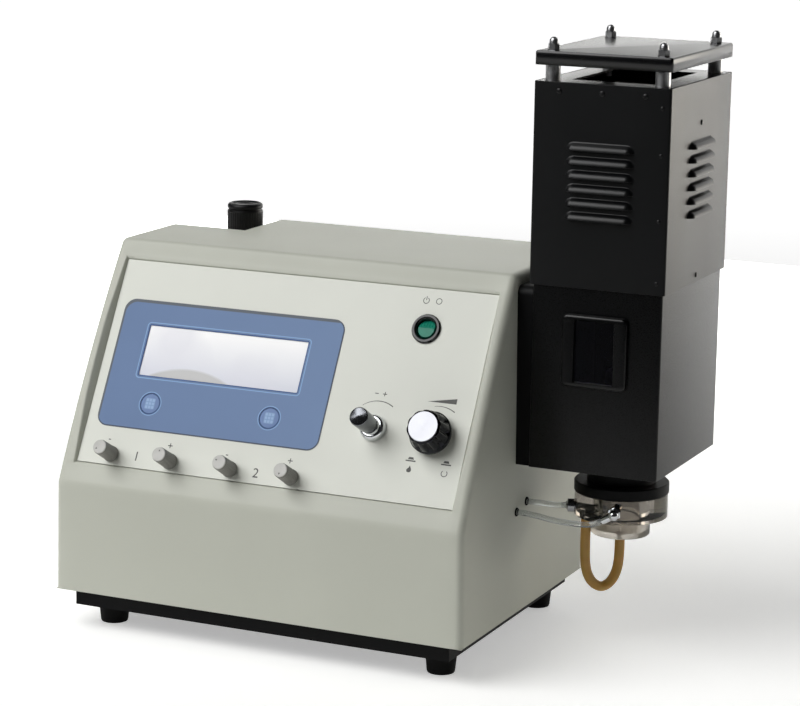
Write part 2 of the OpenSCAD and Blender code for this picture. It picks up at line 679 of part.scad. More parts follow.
module gas_valve_stem() color([0.75, 0.75, 0.76]) on_panel(gas_x, valve_v, -25.7)
    cylinder(r = spindle_r, h = 25.7 + gas_knob_top - gas_push - 4);

// Scalloped grip on a round skirt, turned to set the gas and pushed to light it
gas_lobes = 10;
gas_face_r = gas_knob_r - 4.2;
gas_knob_low = gas_push + 1.6;
module gas_valve_knob() color([0.20, 0.20, 0.21]) on_panel(gas_x, valve_v) difference() {
    rotate_extrude() polygon([[0, gas_knob_low], [gas_knob_r - 0.4, gas_knob_low],
        [gas_knob_r, gas_knob_low + 0.6], [gas_knob_r, gas_knob_low + 3.4],
        [gas_knob_r - 0.5, gas_knob_low + 4], [gas_knob_r - 1.6, gas_knob_top - 3],
        [gas_face_r + 0.8, gas_knob_top - 0.4], [0, gas_knob_top - 0.4]]);
    for (k = [0:gas_lobes - 1]) rotate(360 * (k + 0.5) / gas_lobes)
        translate([gas_knob_r + 2.2, 0, gas_knob_low + 4]) cylinder(r = 3.8, h = gas_knob_top);
    translate([0, 0, gas_knob_top - 1.4]) cylinder(r = gas_face_r + 0.05, h = 2);
    translate([0, 0, gas_knob_low - cut])
        cylinder(r = spindle_r + run_gap, h = gas_knob_top - gas_knob_low - 2);
}

module gas_knob_cap() color([0.86, 0.87, 0.88]) on_panel(gas_x, valve_v, gas_knob_top - 1.4)
    rotate_extrude() polygon([[0, 0], [gas_face_r, 0], [gas_face_r, 1], [gas_face_r - 0.4, 1.4],
        [0, 1.4]]);

// ---- Air regulator -------------------------------------------------------------------------

regulator_top = cabinet_h + regulator_rise;
regulator_knob_z = regulator_top - regulator_knob_h;
body_h = 28;
body_w = 40;
body_d = 34;
bonnet_r = 12.5;
bonnet_h = 15;
regulator_body_z = regulator_knob_z - fit_gap - bonnet_h - body_h;
regulator_stem_r = 4;
bowl_r = 16.5;
bowl_h = 58;
bracket_t = 2;

module at_regulator(z) {
    in_cabinet() translate([regulator_x, regulator_y, z]) children();
}

// Die-cast body with a round bonnet and the spindle that the knob turns on
module regulator_body() color([0.72, 0.73, 0.74]) at_regulator(regulator_body_z) difference() {
    union() {
        translate([0, 0, body_h / 2]) cube([body_w, body_d, body_h], center = true);
        translate([0, 0, body_h]) cylinder(r = bonnet_r, h = bonnet_h);
        cylinder(r = regulator_stem_r, h = body_h + bonnet_h + regulator_knob_h - 6);
    }
    for (y = [-1, 1], x = [-1, 1]) translate([x * body_w / 2, y * body_d / 2, -cut])
        rotate(45) cube([5, 5, 3 * body_h], center = true);
    translate([-body_w / 2 - cut, 0, body_h / 2]) rotate([0, 90, 0])
        cylinder(r = spigot_r + 2.1, h = 8 + cut);
}

module regulator_bowl() color([0.82, 0.84, 0.86, 0.6]) at_regulator(regulator_body_z)
    rotate_extrude() difference() {
        polygon(concat([[0, 0], [bowl_r, 0], [bowl_r - 0.5, -bowl_h + 8]],
            [for (a = [15:15:75]) [(bowl_r - 0.5) * cos(a), -bowl_h + 8 - 8 * sin(a)]],
            [[4, -bowl_h], [4, -bowl_h - 8], [2.5, -bowl_h - 10], [0, -bowl_h - 10]]));
        translate([0, -bowl_h + 6]) square([bowl_r - 3, bowl_h - 9]);
    }

// Folded bracket: one leaf on the notch's wall, the other clamped round the bonnet
module regulator_bracket() color([0.65, 0.66, 0.67]) {
    wall_y = cabinet_d - notch_d;
    leaf_z = regulator_body_z + body_h;
    in_cabinet() difference() {
        translate([regulator_x - 18, wall_y, leaf_z])
            cube([36, regulator_y - wall_y + body_d / 2, bracket_t]);
        translate([regulator_x, regulator_y, leaf_z - cut])
            cylinder(r = bonnet_r + 0.1, h = bracket_t + 2 * cut);
    }
    in_cabinet() difference() {
        translate([regulator_x - 18, wall_y, leaf_z - 30]) cube([36, bracket_t, 30]);
        for (x = [-11, 11]) translate([regulator_x + x, wall_y - cut, leaf_z - 18])
            rotate([-90, 0, 0]) cylinder(r = 2.2, h = bracket_t + 2 * cut);
    }
}

regulator_ribs = 40;
module regulator_knob() color([0.06, 0.06, 0.07]) at_regulator(regulator_knob_z) difference() {
    rotate_extrude() polygon([[0, 0], [regulator_knob_r, 0],
        [regulator_knob_r, regulator_knob_h - 3.2], [regulator_knob_r - 0.5, regulator_knob_h - 1.8],
        [regulator_knob_r - 2.2, regulator_knob_h - 0.6], [regulator_knob_r - 3.4, regulator_knob_h - 0.6],
        [regulator_knob_r - 4, regulator_knob_h], [0, regulator_knob_h]]);
    for (k = [0:regulator_ribs - 1]) rotate(360 * k / regulator_ribs)
        translate([regulator_knob_r + 0.25, 0, 2]) cylinder(r = 0.6, h = regulator_knob_h - 6.5, $fn = 16);
    translate([0, 0, -cut]) cylinder(r = regulator_stem_r + run_gap, h = regulator_knob_h - 4.5);
}

// ---- Flame tower ---------------------------------------------------------------------------

duct_in = 2.5;
duct_d = chamber_d - 2 * duct_in;
duct_h = seam_z - chamber_z - 3;
// Spacer between the leaning cabinet wall and the flame chamber, with the light path through it
module optics_duct() color([0.06, 0.06, 0.07]) in_cabinet() difference() {
    translate([cabinet_w - side_draft, chamber_y + duct_in, chamber_z])
        rotate([90, 0, 90]) linear_extrude(tower_x - cabinet_w + side_draft)
            union() {
                square([duct_d, duct_h - 6]);
                translate([6, 0]) square([duct_d - 12, duct_h]);
                for (x = [6, duct_d - 6]) translate([x, duct_h - 6]) circle(6);
            }
    translate([cabinet_w, -cabinet_d, 0]) rotate([0, -atan(side_lean), 0])
        translate([-cabinet_w, 0, -cabinet_h]) cube([cabinet_w, 3 * cabinet_d, 3 * cabinet_h]);
    translate([cabinet_w - 2 * cabinet_wall, burner_y, window_z]) rotate([0, 90, 0])
        cylinder(r = light_r, h = tower_gap + 4 * cabinet_wall);
}

neck_r = 12;
chamber_top = seam_z + overlap_h;
// Lower box of the tower: open top, floor with the burner's hole, window and light holes
module flame_chamber() color([0.05, 0.05, 0.06]) in_cabinet() difference() {
    translate([tower_x, chamber_y, chamber_z]) cube([chamber_w, chamber_d, chamber_top - chamber_z]);
    translate([tower_x + sheet_t, chamber_y + sheet_t, chamber_z + sheet_t])
        cube([chamber_w - 2 * sheet_t, chamber_d - 2 * sheet_t, chamber_top - chamber_z]);
    translate([burner_x, burner_y, chamber_z - cut]) cylinder(r = neck_r, h = sheet_t + 2 * cut);
    translate([burner_x - window_w / 2, chamber_y - cut, window_z - window_h / 2])
        cube([window_w, sheet_t + 2 * cut, window_h]);
    translate([tower_x - cut, burner_y, window_z]) rotate([0, 90, 0])
        cylinder(r = light_r, h = sheet_t + 2 * cut);
}

glass_t = 2;
window_r = 4;
module window_frame() color([0.07, 0.07, 0.08])
    in_cabinet() translate([burner_x, chamber_y, window_z]) rotate([90, 0, 0]) difference() {
        union() {
            linear_extrude(window_proud - 1)
                rounded_rect(window_w + 2 * window_rim_w, window_h + 2 * window_rim_h, window_r);
            linear_extrude(window_proud)
                rounded_rect(window_w + 2 * window_rim_w - 2, window_h + 2 * window_rim_h - 2,
                    window_r - 1);
        }
        translate([0, 0, -cut]) linear_extrude(window_proud + 2 * cut)
            square([window_w, window_h], center = true);
        translate([0, 0, -cut]) linear_extrude(glass_t + 0.2 + cut)
            square([window_w + 4.4, window_h + 4.4], center = true);
    }

module window_glass() color([0.10, 0.10, 0.16, 0.7])
    in_cabinet() translate([burner_x, chamber_y, window_z]) rotate([90, 0, 0])
        linear_extrude(glass_t) square([window_w + 4, window_h + 4], center = true);

// One pressed louvre: a quarter-round hood with ball ends over a slot, facing -Y, lip at z = 0
hood_t = 1;
module louvre_hood(w, r) {
    for (x = [-w / 2, w / 2]) translate([x, 0, 0]) sphere(r);
    translate([-w / 2, 0, 0]) rotate([0, 90, 0]) cylinder(r = r, h = w);
}

// Stands a louvre on each of the four walls: front, right, back and left
module on_walls() {
    translate([burner_x, chimney_y, 0]) children(0);
    translate([chimney_x + chimney_w, burner_y, 0]) rotate(90) children(1);
    translate([burner_x, chimney_y + chimney_d, 0]) rotate(180) children(0);
    translate([chimney_x, burner_y, 0]) rotate(-90) children(1);
}

module louvre_rows(w, r, drop) {
    for (i = [0:louvre_count - 1]) translate([0, 0, louvre_z + i * louvre_pitch]) intersection() {
        louvre_hood(w, r);
        translate([-w, -2 * r, -drop]) cube([2 * w, 2 * r + sheet_t + cut, 2 * r]);
    }
}

chimney_h = chimney_z - seam_z;
// Upper box of the tower with four banks of louvres
module chimney_shell() color([0.05, 0.05, 0.06]) in_cabinet() difference() {
    union() {
        translate([chimney_x, chimney_y, seam_z]) cube([chimney_w, chimney_d, chimney_h]);
        on_walls() {
            louvre_rows(louvre_front_w, louvre_r, 0);
            louvre_rows(louvre_side_w, louvre_r, 0);
        }
    }
    translate([chimney_x + sheet_t, chimney_y + sheet_t, seam_z - cut])
        cube([chimney_w - 2 * sheet_t, chimney_d - 2 * sheet_t, chimney_h + 2 * cut]);
    on_walls() {
        louvre_rows(louvre_front_w, louvre_r - hood_t, cut);
        louvre_rows(louvre_side_w, louvre_r - hood_t, cut);
    }
}

// Flange inside the chimney's top that leaves the flue open and carries the pillars
frame_drop = 10;
frame_w = chimney_w - 2 * sheet_t - 0.2;
frame_d = chimney_d - 2 * sheet_t - 0.2;
module chimney_top_frame() color([0.07, 0.07, 0.08]) in_cabinet()
    translate([burner_x, burner_y, chimney_z - frame_drop]) difference() {
        translate([-frame_w / 2, -frame_d / 2, 0]) cube([frame_w, frame_d, frame_drop]);
        translate([-frame_w / 2 + sheet_t, -frame_d / 2 + sheet_t, -cut])
            cube([frame_w - 2 * sheet_t, frame_d - 2 * sheet_t, frame_drop - sheet_t + cut]);
        translate([-chimney_w / 2 + flange_w, -chimney_d / 2 + flange_w, 0])
            cube([chimney_w - 2 * flange_w, chimney_d - 2 * flange_w, frame_drop + cut]);
        for (p = pillar_places) translate([p[0], p[1], 0]) cylinder(r = stud_r + 0.1, h = 2 * frame_drop);
    }

stud_r = 2;
pillar_places = [for (x = [-1, 1], y = [-1, 1])
    [x * (chimney_w / 2 - pillar_inset), y * (chimney_d / 2 - pillar_inset)]];
pillar_h = plate_gap + plate_rim - sheet_t;
// Steel pillars, each with a stud down through the flange and up through the heat plate
module plate_pillars() color([0.75, 0.75, 0.76]) in_cabinet() for (p = pillar_places)
    translate([burner_x + p[0], burner_y + p[1], chimney_z]) {
        cylinder(r = pillar_r, h = pillar_h);
        translate([0, 0, -frame_drop + 3]) cylinder(r = stud_r, h = pillar_h + frame_drop + 3);
    }

module heat_plate() color([0.12, 0.12, 0.13]) in_cabinet() difference() {
    translate([chimney_x, chimney_y, plate_z]) cube([chimney_w, chimney_d, plate_rim]);
    translate([chimney_x + sheet_t, chimney_y + sheet_t, plate_z - cut])
        cube([chimney_w - 2 * sheet_t, chimney_d - 2 * sheet_t, plate_rim - sheet_t + cut]);
    for (p = pillar_places) translate([burner_x + p[0], burner_y + p[1], plate_z])
        cylinder(r = stud_r + 0.1, h = 2 * plate_rim);
}

nut_af = 7;
module acorn_nuts() color([0.78, 0.78, 0.79]) in_cabinet() for (p = pillar_places)
    translate([burner_x + p[0], burner_y + p[1], plate_z + plate_rim]) difference() {
        intersection() {
            cylinder(r = nut_af / 2 / cos(30), h = 9, $fn = 6);
            rotate_extrude() polygon(concat([[0, 0], [nut_af * 0.5, 0], [nut_af * 0.58, 0.6],
                [nut_af * 0.58, 3.4], [nut_af * 0.44, 4.2]],
                [for (a = [0:22.5:90]) [nut_af * 0.43 * cos(a), 5.4 + 3.2 * sin(a)]]));
        }
        translate([0, 0, -cut]) cylinder(r = stud_r + 0.05, h = 5 + cut);
    }

// Rivets and screws in the tower's sheet metal
rivet_r = 1.9;
module rivet(r = rivet_r) {
    translate([0, 0, thin]) rotate_extrude()
        polygon([[0, 0], [r, 0], [r * 0.92, r * 0.24], [r * 0.6, r * 0.46], [0, r * 0.54]]);
}
rivet_row = 30;
module tower_rivets() color([0.10, 0.10, 0.11]) in_cabinet() {
    for (x = [-rivet_row, 0, rivet_row], side = [0, 180])
        translate([burner_x, burner_y, 0]) rotate(side)
            translate([x, -chimney_d / 2, chimney_z - 6]) rotate([90, 0, 0]) rivet();
    for (z = [13, 44, 87, 128]) translate([chimney_x + chimney_w - 6, chimney_y, chimney_z - z])
        rotate([90, 0, 0]) rivet(0.7 * rivet_r);
    for (z = [28, 131]) translate([chimney_x + chimney_w, burner_y, chimney_z - z])
        rotate([0, 90, 0]) rivet();
}

// ---- Burner --------------------------------------------------------------------------------

burner_stem_r = 9;
module burner_head() color([0.60, 0.58, 0.56]) in_cabinet() translate([burner_x, burner_y, 0])
    difference() {
        rotate_extrude() polygon([[0, ring_z + ring_t + 2], [burner_stem_r, ring_z + ring_t + 2],
            [burner_stem_r, burner_top - 22], [burner_r, burner_top - 16],
            [burner_r, burner_top - 1], [burner_r - 1, burner_top], [0, burner_top]]);
        translate([0, 0, ring_z]) cylinder(r = burner_stem_r - 2, h = burner_top - 4 - ring_z);
        for (ring = [1:2], k = [0:6 * ring - 1]) rotate(60 * k / ring)
            translate([4.4 * ring, 0, burner_top - 8]) cylinder(r = 0.9, h = 10, $fn = 16);
    }

// Black flange that clamps the clear mixing chamber to the flame chamber's floor
module mixing_flange() color([0.05, 0.05, 0.05]) in_cabinet() translate([burner_x, burner_y, 0])
    difference() {
        rotate_extrude() polygon([[0, ring_z], [ring_r - 0.8, ring_z], [ring_r, ring_z + 0.8],
            [ring_r, ring_z + ring_t - 0.8], [ring_r - 0.8, ring_z + ring_t],
            [neck_r * 2, ring_z + ring_t], [neck_r * 2, chamber_z], [0, chamber_z]]);
        translate([0, 0, ring_z - cut]) cylinder(r = burner_stem_r + 0.1, h = chamber_z);
    }

disc_z = ring_z - disc_t;
mix_r = 13;
nebuliser_dir = [-0.93, -0.37];
elbow_dir = [0.22, -0.975];
nebuliser_z = 69.5;
elbow_z = 73.5;
side_port_r = 3;
nipple_r = 2.3;
nipple_len = 8;
drain_from = [-18.3, -19.4];
module mixing_chamber() color([0.85, 0.87, 0.88, 0.4]) in_cabinet()
    translate([burner_x, burner_y, 0]) difference() {
        translate([0, 0, disc_z]) cylinder(r = disc_r, h = disc_t);
        translate([0, 0, disc_z - cut]) cylinder(r = mix_r, h = disc_t + 2 * cut);
        translate([0, 0, nebuliser_z]) rotate(atan2(nebuliser_dir[1], nebuliser_dir[0]))
            rotate([0, 90, 0]) cylinder(r = side_port_r + 0.05, h = 2 * disc_r);
        translate([0, 0, elbow_z]) rotate(atan2(elbow_dir[1], elbow_dir[0]))
            rotate([0, 90, 0]) cylinder(r = side_port_r + 0.05, h = 2 * disc_r);
        translate([drain_from[0], drain_from[1], disc_z - cut])
            cylinder(r = nipple_r + 0.05, h = 6 + cut);
    }

cup_z = disc_z - cup_h;
module drain_cup() color([0.85, 0.87, 0.88, 0.4]) in_cabinet() translate([burner_x, burner_y, 0])
    rotate_extrude() difference() {
        polygon([[1.2, cup_z - nipple_len], [nipple_r, cup_z - nipple_len], [nipple_r, cup_z],
            [cup_r - 0.8, cup_z], [cup_r, cup_z + 0.8], [cup_r, disc_z], [1.2, disc_z]]);
        translate([0, cup_z + 3]) square([mix_r, cup_h]);
    }

// Stainless nebuliser screwed into the mixing chamber's side, with the drain nipple beside it
nebuliser_out = 6;
module nebuliser() color([0.55, 0.56, 0.58]) in_cabinet() translate([burner_x, burner_y, 0]) {
    translate([0, 0, nebuliser_z]) rotate(atan2(nebuliser_dir[1], nebuliser_dir[0]))
        rotate([0, 90, 0]) rotate_extrude()
            polygon([[0, mix_r - 4], [1, mix_r - 4], [2.2, mix_r], [side_port_r, mix_r],
                [side_port_r, disc_r + 0.1], [4.6, disc_r + 0.1], [4.6, disc_r + 4.4],
                [3, disc_r + 5], [2.2, disc_r + nebuliser_out], [0, disc_r + nebuliser_out]]);
    translate([drain_from[0], drain_from[1], disc_z - nipple_len]) difference() {
        cylinder(r = nipple_r, h = nipple_len + 5.9);
        translate([0, 0, -cut]) cylinder(r = 1.2, h = nipple_len + 8);
    }
}

// Chrome elbow that brings the gas in through the front of the mixing chamber
elbow_out = 9;
elbow_tail = 9;
elbow_turn = [-0.86, 0, -0.51];
elbow_c = [burner_x + (disc_r + elbow_out) * elbow_dir[0],
    burner_y + (disc_r + elbow_out) * elbow_dir[1], elbow_z];
module gas_elbow() color([0.7, 0.71, 0.73]) in_cabinet() {
    translate([burner_x, burner_y, elbow_z]) rotate(atan2(elbow_dir[1], elbow_dir[0]))
        rotate([0, 90, 0]) {
            translate([0, 0, mix_r]) cylinder(r = side_port_r, h = disc_r + elbow_out - mix_r);
            translate([0, 0, disc_r + 0.1]) cylinder(r = 4.6, h = 4.5, $fn = 6);
        }
    translate(elbow_c) {
        sphere(3.6);
        rotate([0, 90 + asin(-elbow_turn[2]), 180]) cylinder(r = 2.6, h = elbow_tail);
    }
}

// ---- Tubes ---------------------------------------------------------------------------------

tube_r = 2;
drain_r = 3.5;
module tube_grommets() color([0.05, 0.05, 0.05]) in_cabinet() for (p = [air_port, gas_port])
    translate([cabinet_w - side_lean * p[1], p[0], p[1]]) rotate([0, 90 - atan(side_lean), 0])
        rotate_extrude() difference() {
            polygon([[0, -cabinet_wall - 1], [grommet_r - 0.3, -cabinet_wall - 1],
                [grommet_r - 0.3, 0.1], [grommet_r + 0.9, 0.1], [grommet_r + 0.9, 0.8],
                [grommet_r, 1.6], [0, 1.6]]);
            translate([0, -2 * cabinet_wall]) square([port_r + 0.3, 4 * cabinet_wall]);
        }

// Routes chosen by hand, in the cabinet's frame
air_route = [[303, 111.7, 75.3], [307, 111.7, 75.3], [311, 111.8, 75.3], [315, 113, 75],
    [318, 116, 74.2], [320, 120, 73], [321.6, 124.5, 71.8], [323.2, 128.8, 70.6],
    [325.4, 132.6, 69.8], [328.4, 135.5, 69.5]];
gas_route = [[303, 93.6, 71.8], [307, 93.6, 71.8], [311, 93.7, 71.8], [317, 94.2, 71.4],
    [324, 95.4, 70.4], [331, 97.4, 68.8], [338, 100.2, 67.2], [345, 103.6, 66],
    [352, 106.8, 65.2], [357.6, 108.8, 65.5], [361.8, 109.4, 66.9], [365.4, 109.5, 68.8]];
// Along the line from the side nipple to the cup's nipple, and height
drain_route = [[0, 64.2], [0, 57.6], [0, 51], [0, 45.5], [0.1, 40], [0.3, 34.5], [0.9, 29], [2.4, 23.8],
    [5, 19], [8.8, 15.3], [13.6, 13.4], [18.4, 14.8], [22, 18.2], [24.4, 22.8], [25.8, 28],
    [26.4, 33.5], [26.6, 39], [26.6, 44.5], [26.6, 50.7]];
drain_line = -unit(drain_from);

module air_tube() color([0.8, 0.82, 0.82, 0.5]) in_cabinet()
    swept_tube(air_route, tube_r, 8, [0, 0, 1]);
module gas_tube() color([0.8, 0.82, 0.82, 0.5]) in_cabinet()
    swept_tube(gas_route, tube_r, 8, [0, 0, 1]);
module drain_tube() color([0.72, 0.52, 0.20]) in_cabinet()
    translate([burner_x + drain_from[0], burner_y + drain_from[1], 0])
        swept_tube([for (p = drain_route) [drain_line[0] * p[0], drain_line[1] * p[0], p[1]]],
            drain_r, 12, [drain_line[1], -drain_line[0], 0]);

// ---- Inside and at the back ----------------------------------------------------------------

block_wall = 3;
block_size = [44, 64, 2 * (light_r + block_wall)];
module optics_block() color([0.12, 0.12, 0.13]) in_cabinet() difference() {
    translate([cabinet_w - side_draft - cabinet_wall - block_size[0], burner_y - block_size[1] / 2,
        window_z - block_size[2] / 2]) cube([block_size[0] + side_draft, block_size[1], block_size[2]]);
    translate([cabinet_w - cabinet_wall - 0.2, -cabinet_d, 0]) rotate([0, -atan(side_lean), 0])
        translate([0, 0, -cabinet_h]) cube([cabinet_w, 3 * cabinet_d, 3 * cabinet_h]);
    translate([cabinet_w - side_draft - block_size[0] + 3, burner_y, window_z]) rotate([0, 90, 0])
        cylinder(r = light_r - 1, h = 2 * block_size[0]);
}

module optical_filters() color([0.55, 0.25, 0.3]) in_cabinet() for (i = [0, 1])
    translate([cabinet_w - side_draft - block_size[0] + 6 + 12 * i, burner_y, window_z])
        rotate([0, 90, 0]) cylinder(r = light_r - 1.1, h = 6);

// Mains transformer with its terminal board, standing in the base tray
supply_place = [150, 130];
core_size = [66, 42, 55];
coil_size = [44, 62, 35];
terminal_size = [26, 62, 2];
module power_supply() color([0.35, 0.33, 0.32]) in_cabinet()
    translate([supply_place[0], supply_place[1], tray_t - tray_h]) {
        translate([-core_size[0] / 2, -core_size[1] / 2, 0]) cube(core_size);
        translate([-coil_size[0] / 2, -coil_size[1] / 2, (core_size[2] - coil_size[2]) / 2])
            cube(coil_size);
        translate([-core_size[0] / 2 - 1 - terminal_size[0], -terminal_size[1] / 2, 0])
            cube(terminal_size);
    }

// Mains inlet in the rear cover: flange, socket and three blades
inlet_w = 24.4;
inlet_tall = 16.8;
module power_inlet() color([0.05, 0.05, 0.05]) in_cabinet()
    translate([inlet_x, cabinet_d + cover_t, inlet_z]) rotate([-90, 0, 0]) {
        difference() {
            union() {
                linear_extrude(3) rounded_rect(50, 23, 6);
                translate([-13.6, -9.8, -24]) cube([27.2, 19.6, 25]);
            }
            translate([-inlet_w / 2, -inlet_tall / 2, -17]) cube([inlet_w, inlet_tall, 21]);
        }
        for (x = [-7, 0, 7]) translate([x - 1, x == 0 ? -4 : -2, -18]) cube([2, 4, 13]);
    }

// Plain hose spigots: gas in through the rear cover, air in at the regulator
module hose_spigots() color([0.75, 0.62, 0.35]) in_cabinet() {
    translate([gas_in_x, cabinet_d + cover_t, gas_in_z]) rotate([-90, 0, 0]) difference() {
        union() {
            translate([0, 0, -cover_t - 10]) cylinder(r = spigot_r, h = 12);
            cylinder(r = 8, h = spigot_collar, $fn = 6);
            cylinder(r = spigot_r, h = spigot_collar + spigot_len);
        }
        translate([0, 0, -cover_t - 11]) cylinder(r = spigot_r - 1.5, h = 60);
    }
    translate([regulator_x - body_w / 2, regulator_y, regulator_body_z + body_h / 2])
        rotate([0, -90, 0]) difference() {
            union() {
                translate([0, 0, -8]) cylinder(r = spigot_r + 2, h = 8);
                cylinder(r = 7, h = 4, $fn = 6);
                cylinder(r = spigot_r, h = 4 + spigot_len);
            }
            translate([0, 0, -9]) cylinder(r = spigot_r - 1.5, h = 60);
        }
}

housing_shell();
rear_cover();
base_tray();
rubber_feet();
cabinet_screws();
control_panel();
membrane_overlay();
display_window();
display_module();
display_board();
key_left();
key_right();
range_pots();
range_knob_1();
range_knob_2();
range_knob_3();
range_knob_4();
range_shaft_1();
range_shaft_2();
range_shaft_3();
range_shaft_4();
power_switch_body();
power_rocker();
fine_valve_body();
fine_valve_collar();
fine_valve_stem();
fine_valve_knob();
gas_valve_body();
gas_valve_stem();
gas_valve_knob();
gas_knob_cap();
regulator_body();
regulator_bowl();
regulator_bracket();
regulator_knob();
optics_duct();
flame_chamber();
window_frame();
window_glass();
chimney_shell();
chimney_top_frame();
plate_pillars();
heat_plate();
acorn_nuts();
tower_rivets();
burner_head();
mixing_flange();
mixing_chamber();
drain_cup();
nebuliser();
gas_elbow();
tube_grommets();
air_tube();
gas_tube();
drain_tube();
optics_block();
optical_filters();
power_supply();
power_inlet();
hose_spigots();
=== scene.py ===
import bmesh
import bpy
import math
import numpy as np
from mathutils import Matrix


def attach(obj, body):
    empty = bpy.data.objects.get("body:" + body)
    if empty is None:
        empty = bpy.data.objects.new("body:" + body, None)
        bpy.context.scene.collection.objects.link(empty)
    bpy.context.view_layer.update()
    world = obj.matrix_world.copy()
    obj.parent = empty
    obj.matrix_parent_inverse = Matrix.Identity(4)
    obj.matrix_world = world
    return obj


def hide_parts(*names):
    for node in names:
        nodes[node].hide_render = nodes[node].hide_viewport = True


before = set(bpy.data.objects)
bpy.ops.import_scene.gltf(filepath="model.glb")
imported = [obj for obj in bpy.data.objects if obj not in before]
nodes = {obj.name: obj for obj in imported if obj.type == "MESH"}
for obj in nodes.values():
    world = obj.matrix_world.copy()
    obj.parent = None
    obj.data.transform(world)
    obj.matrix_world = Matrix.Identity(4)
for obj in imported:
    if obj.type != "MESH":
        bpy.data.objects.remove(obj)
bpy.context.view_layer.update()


# ---- The photographer's camera ----
# A long lens a little above the bench, turned 24 degrees to the instrument's right.
# Millimetres in this file are the cabinet's own: x from its left edge, y from its front face,
# z from its lower edge, as on a drawing of it.

def row(p):
    """Cabinet millimetres as metres in the row frame: the whole box's middle and the bench are zero."""
    return (np.asarray(p, float) + (-208.2, -120.0903, 28.0)) / 1000.0


lens = bpy.data.cameras.new("camera")
camera = bpy.data.objects.new("camera", lens)
bpy.context.scene.collection.objects.link(camera)
bpy.context.scene.camera = camera
lens.sensor_width = 36.0
lens.lens = 125.336
lens.clip_end = 20.0
right, up, back = ((0.90965185, 0.41504975, 0.01634709),
                   (-0.09896007, 0.17832972, 0.97898183),
                   (0.40341099, -0.89215034, 0.20329131))
place = np.eye(4)
place[:3, 0], place[:3, 1], place[:3, 2] = right, up, back
place[:3, 3] = row((992.2525, -1614.2726, 562.7380))
camera.matrix_world = Matrix(place.tolist())
bpy.context.scene.view_settings.view_transform = "Standard"


# ---- The studio ----
# White paper under and behind the instrument, a dark floor in front for its black walls to mirror,
# a big soft box high in front on the left, a low one behind on the right for the tower's side, and
# one for the paper behind. The camera sees a bowl of the same paper in their place.

def tone(code):
    """A colour written as on a colour card (hex, display-referred) in the renderer's linear light."""
    c = [int(code[i:i + 2], 16) / 255.0 for i in (1, 3, 5)]
    return tuple(x / 12.92 if x <= 0.04045 else ((x + 0.055) / 1.055) ** 2.4 for x in c) + (1.0,)


def wire(finish, node, **sockets):
    """Sets a shader node's inputs, each to a value or to another node's output. A name's spaces
    are written _, and i2 is the input numbered 2."""
    for name, value in sockets.items():
        number = name[0] == "i" and name[1:].isdigit()
        target = node.inputs[int(name[1:]) if number else name.replace("_", " ")]
        if isinstance(value, bpy.types.NodeSocket):
            finish.node_tree.links.new(value, target)
        else:
            target.default_value = value


def add(finish, kind, settings=None, out=0, **sockets):
    """Adds a shader node and gives its output: kind may end in :OPERATION, settings are its other
    options, and sockets are set as in wire()."""
    kind, _, operation = kind.partition(":")
    node = finish.node_tree.nodes.new("ShaderNode" + kind)
    if operation:
        node.operation = operation
    for name, value in (settings or {}).items():
        setattr(node, name, value)
    wire(finish, node, **sockets)
    return node.outputs[out]


def new_finish(name):
    """An empty material and its Principled shader node, which sits on the output."""
    finish = bpy.data.materials.new(name)
    finish.use_nodes = True
    return finish, finish.node_tree.nodes["Principled BSDF"]


def grain(finish, size_mm, detail=2.0):
    """Noise with lumps about size_mm across, in the object's own metres."""
    return add(finish, "TexNoise", Vector=add(finish, "TexCoord", out="Object"),
               Scale=1000.0 / size_mm, Detail=detail, Roughness=0.5)


def piece(name, points, faces, finish, body="cabinet", stands_for=(), slot=None):
    """A mesh of faces over points in cabinet millimetres, smooth but for edges over 35 degrees."""
    mesh = bpy.data.meshes.new(name)
    mesh.from_pydata(row(points).reshape(-1, 3).tolist(), [], [tuple(int(i) for i in f) for f in faces])
    mesh.materials.append(finish)
    mesh.validate()
    mesh.polygons.foreach_set("use_smooth", np.ones(len(mesh.polygons), bool))
    mesh.update()
    mesh.set_sharp_from_angle(angle=math.radians(35))
    made = bpy.data.objects.new(name, mesh)
    bpy.context.scene.collection.objects.link(made)
    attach(made, body)
    if stands_for:
        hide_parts(*stands_for)
    return made


def grid(points, around=False, keep=None):
    """Quads that join an array of rows x columns of points, in order. around closes each row, and
    keep (rows x columns of truth) says which quads are wanted."""
    rows, cols = points.shape[:2]
    index = np.arange(rows * cols).reshape(rows, cols)
    if around:
        index = np.concatenate([index, index[:, :1]], 1)
    quads = np.stack([index[:-1, :-1], index[:-1, 1:], index[1:, 1:], index[1:, :-1]], -1)
    if keep is not None:
        quads = quads[keep]
    return quads.reshape(-1, 4)


def arc(cx, cy, r, a0, a1, n):
    """n + 1 points of a circle's arc in a plane, angles in degrees."""
    a = np.radians(np.linspace(a0, a1, n + 1))
    return np.stack([cx + r * np.cos(a), cy + r * np.sin(a)], 1)


# Paper is matt with a faint tooth, and its slight glow keeps the ground pale without a lamp on it
paper, shader = new_finish("white studio paper")
wire(paper, shader, Base_Color=tone("#F6F6F4"), Roughness=0.9, Emission_Color=tone("#FFFFFF"),
     Emission_Strength=0.14,
     Normal=add(paper, "Bump", Strength=0.1, Distance=0.0005, Height=grain(paper, 3.0)))
run = np.concatenate([[(-520.0, -28.3)], arc(1700, 671.7, 700, -90, 0, 12), [(2400.0, 3500.0)]])
sweep = np.stack([np.stack([np.full(len(run), x), run[:, 0], run[:, 1]], 1)
                  for x in np.linspace(-4000, 4400, 3)])
floor = piece("paper_sweep", sweep, grid(sweep), paper)

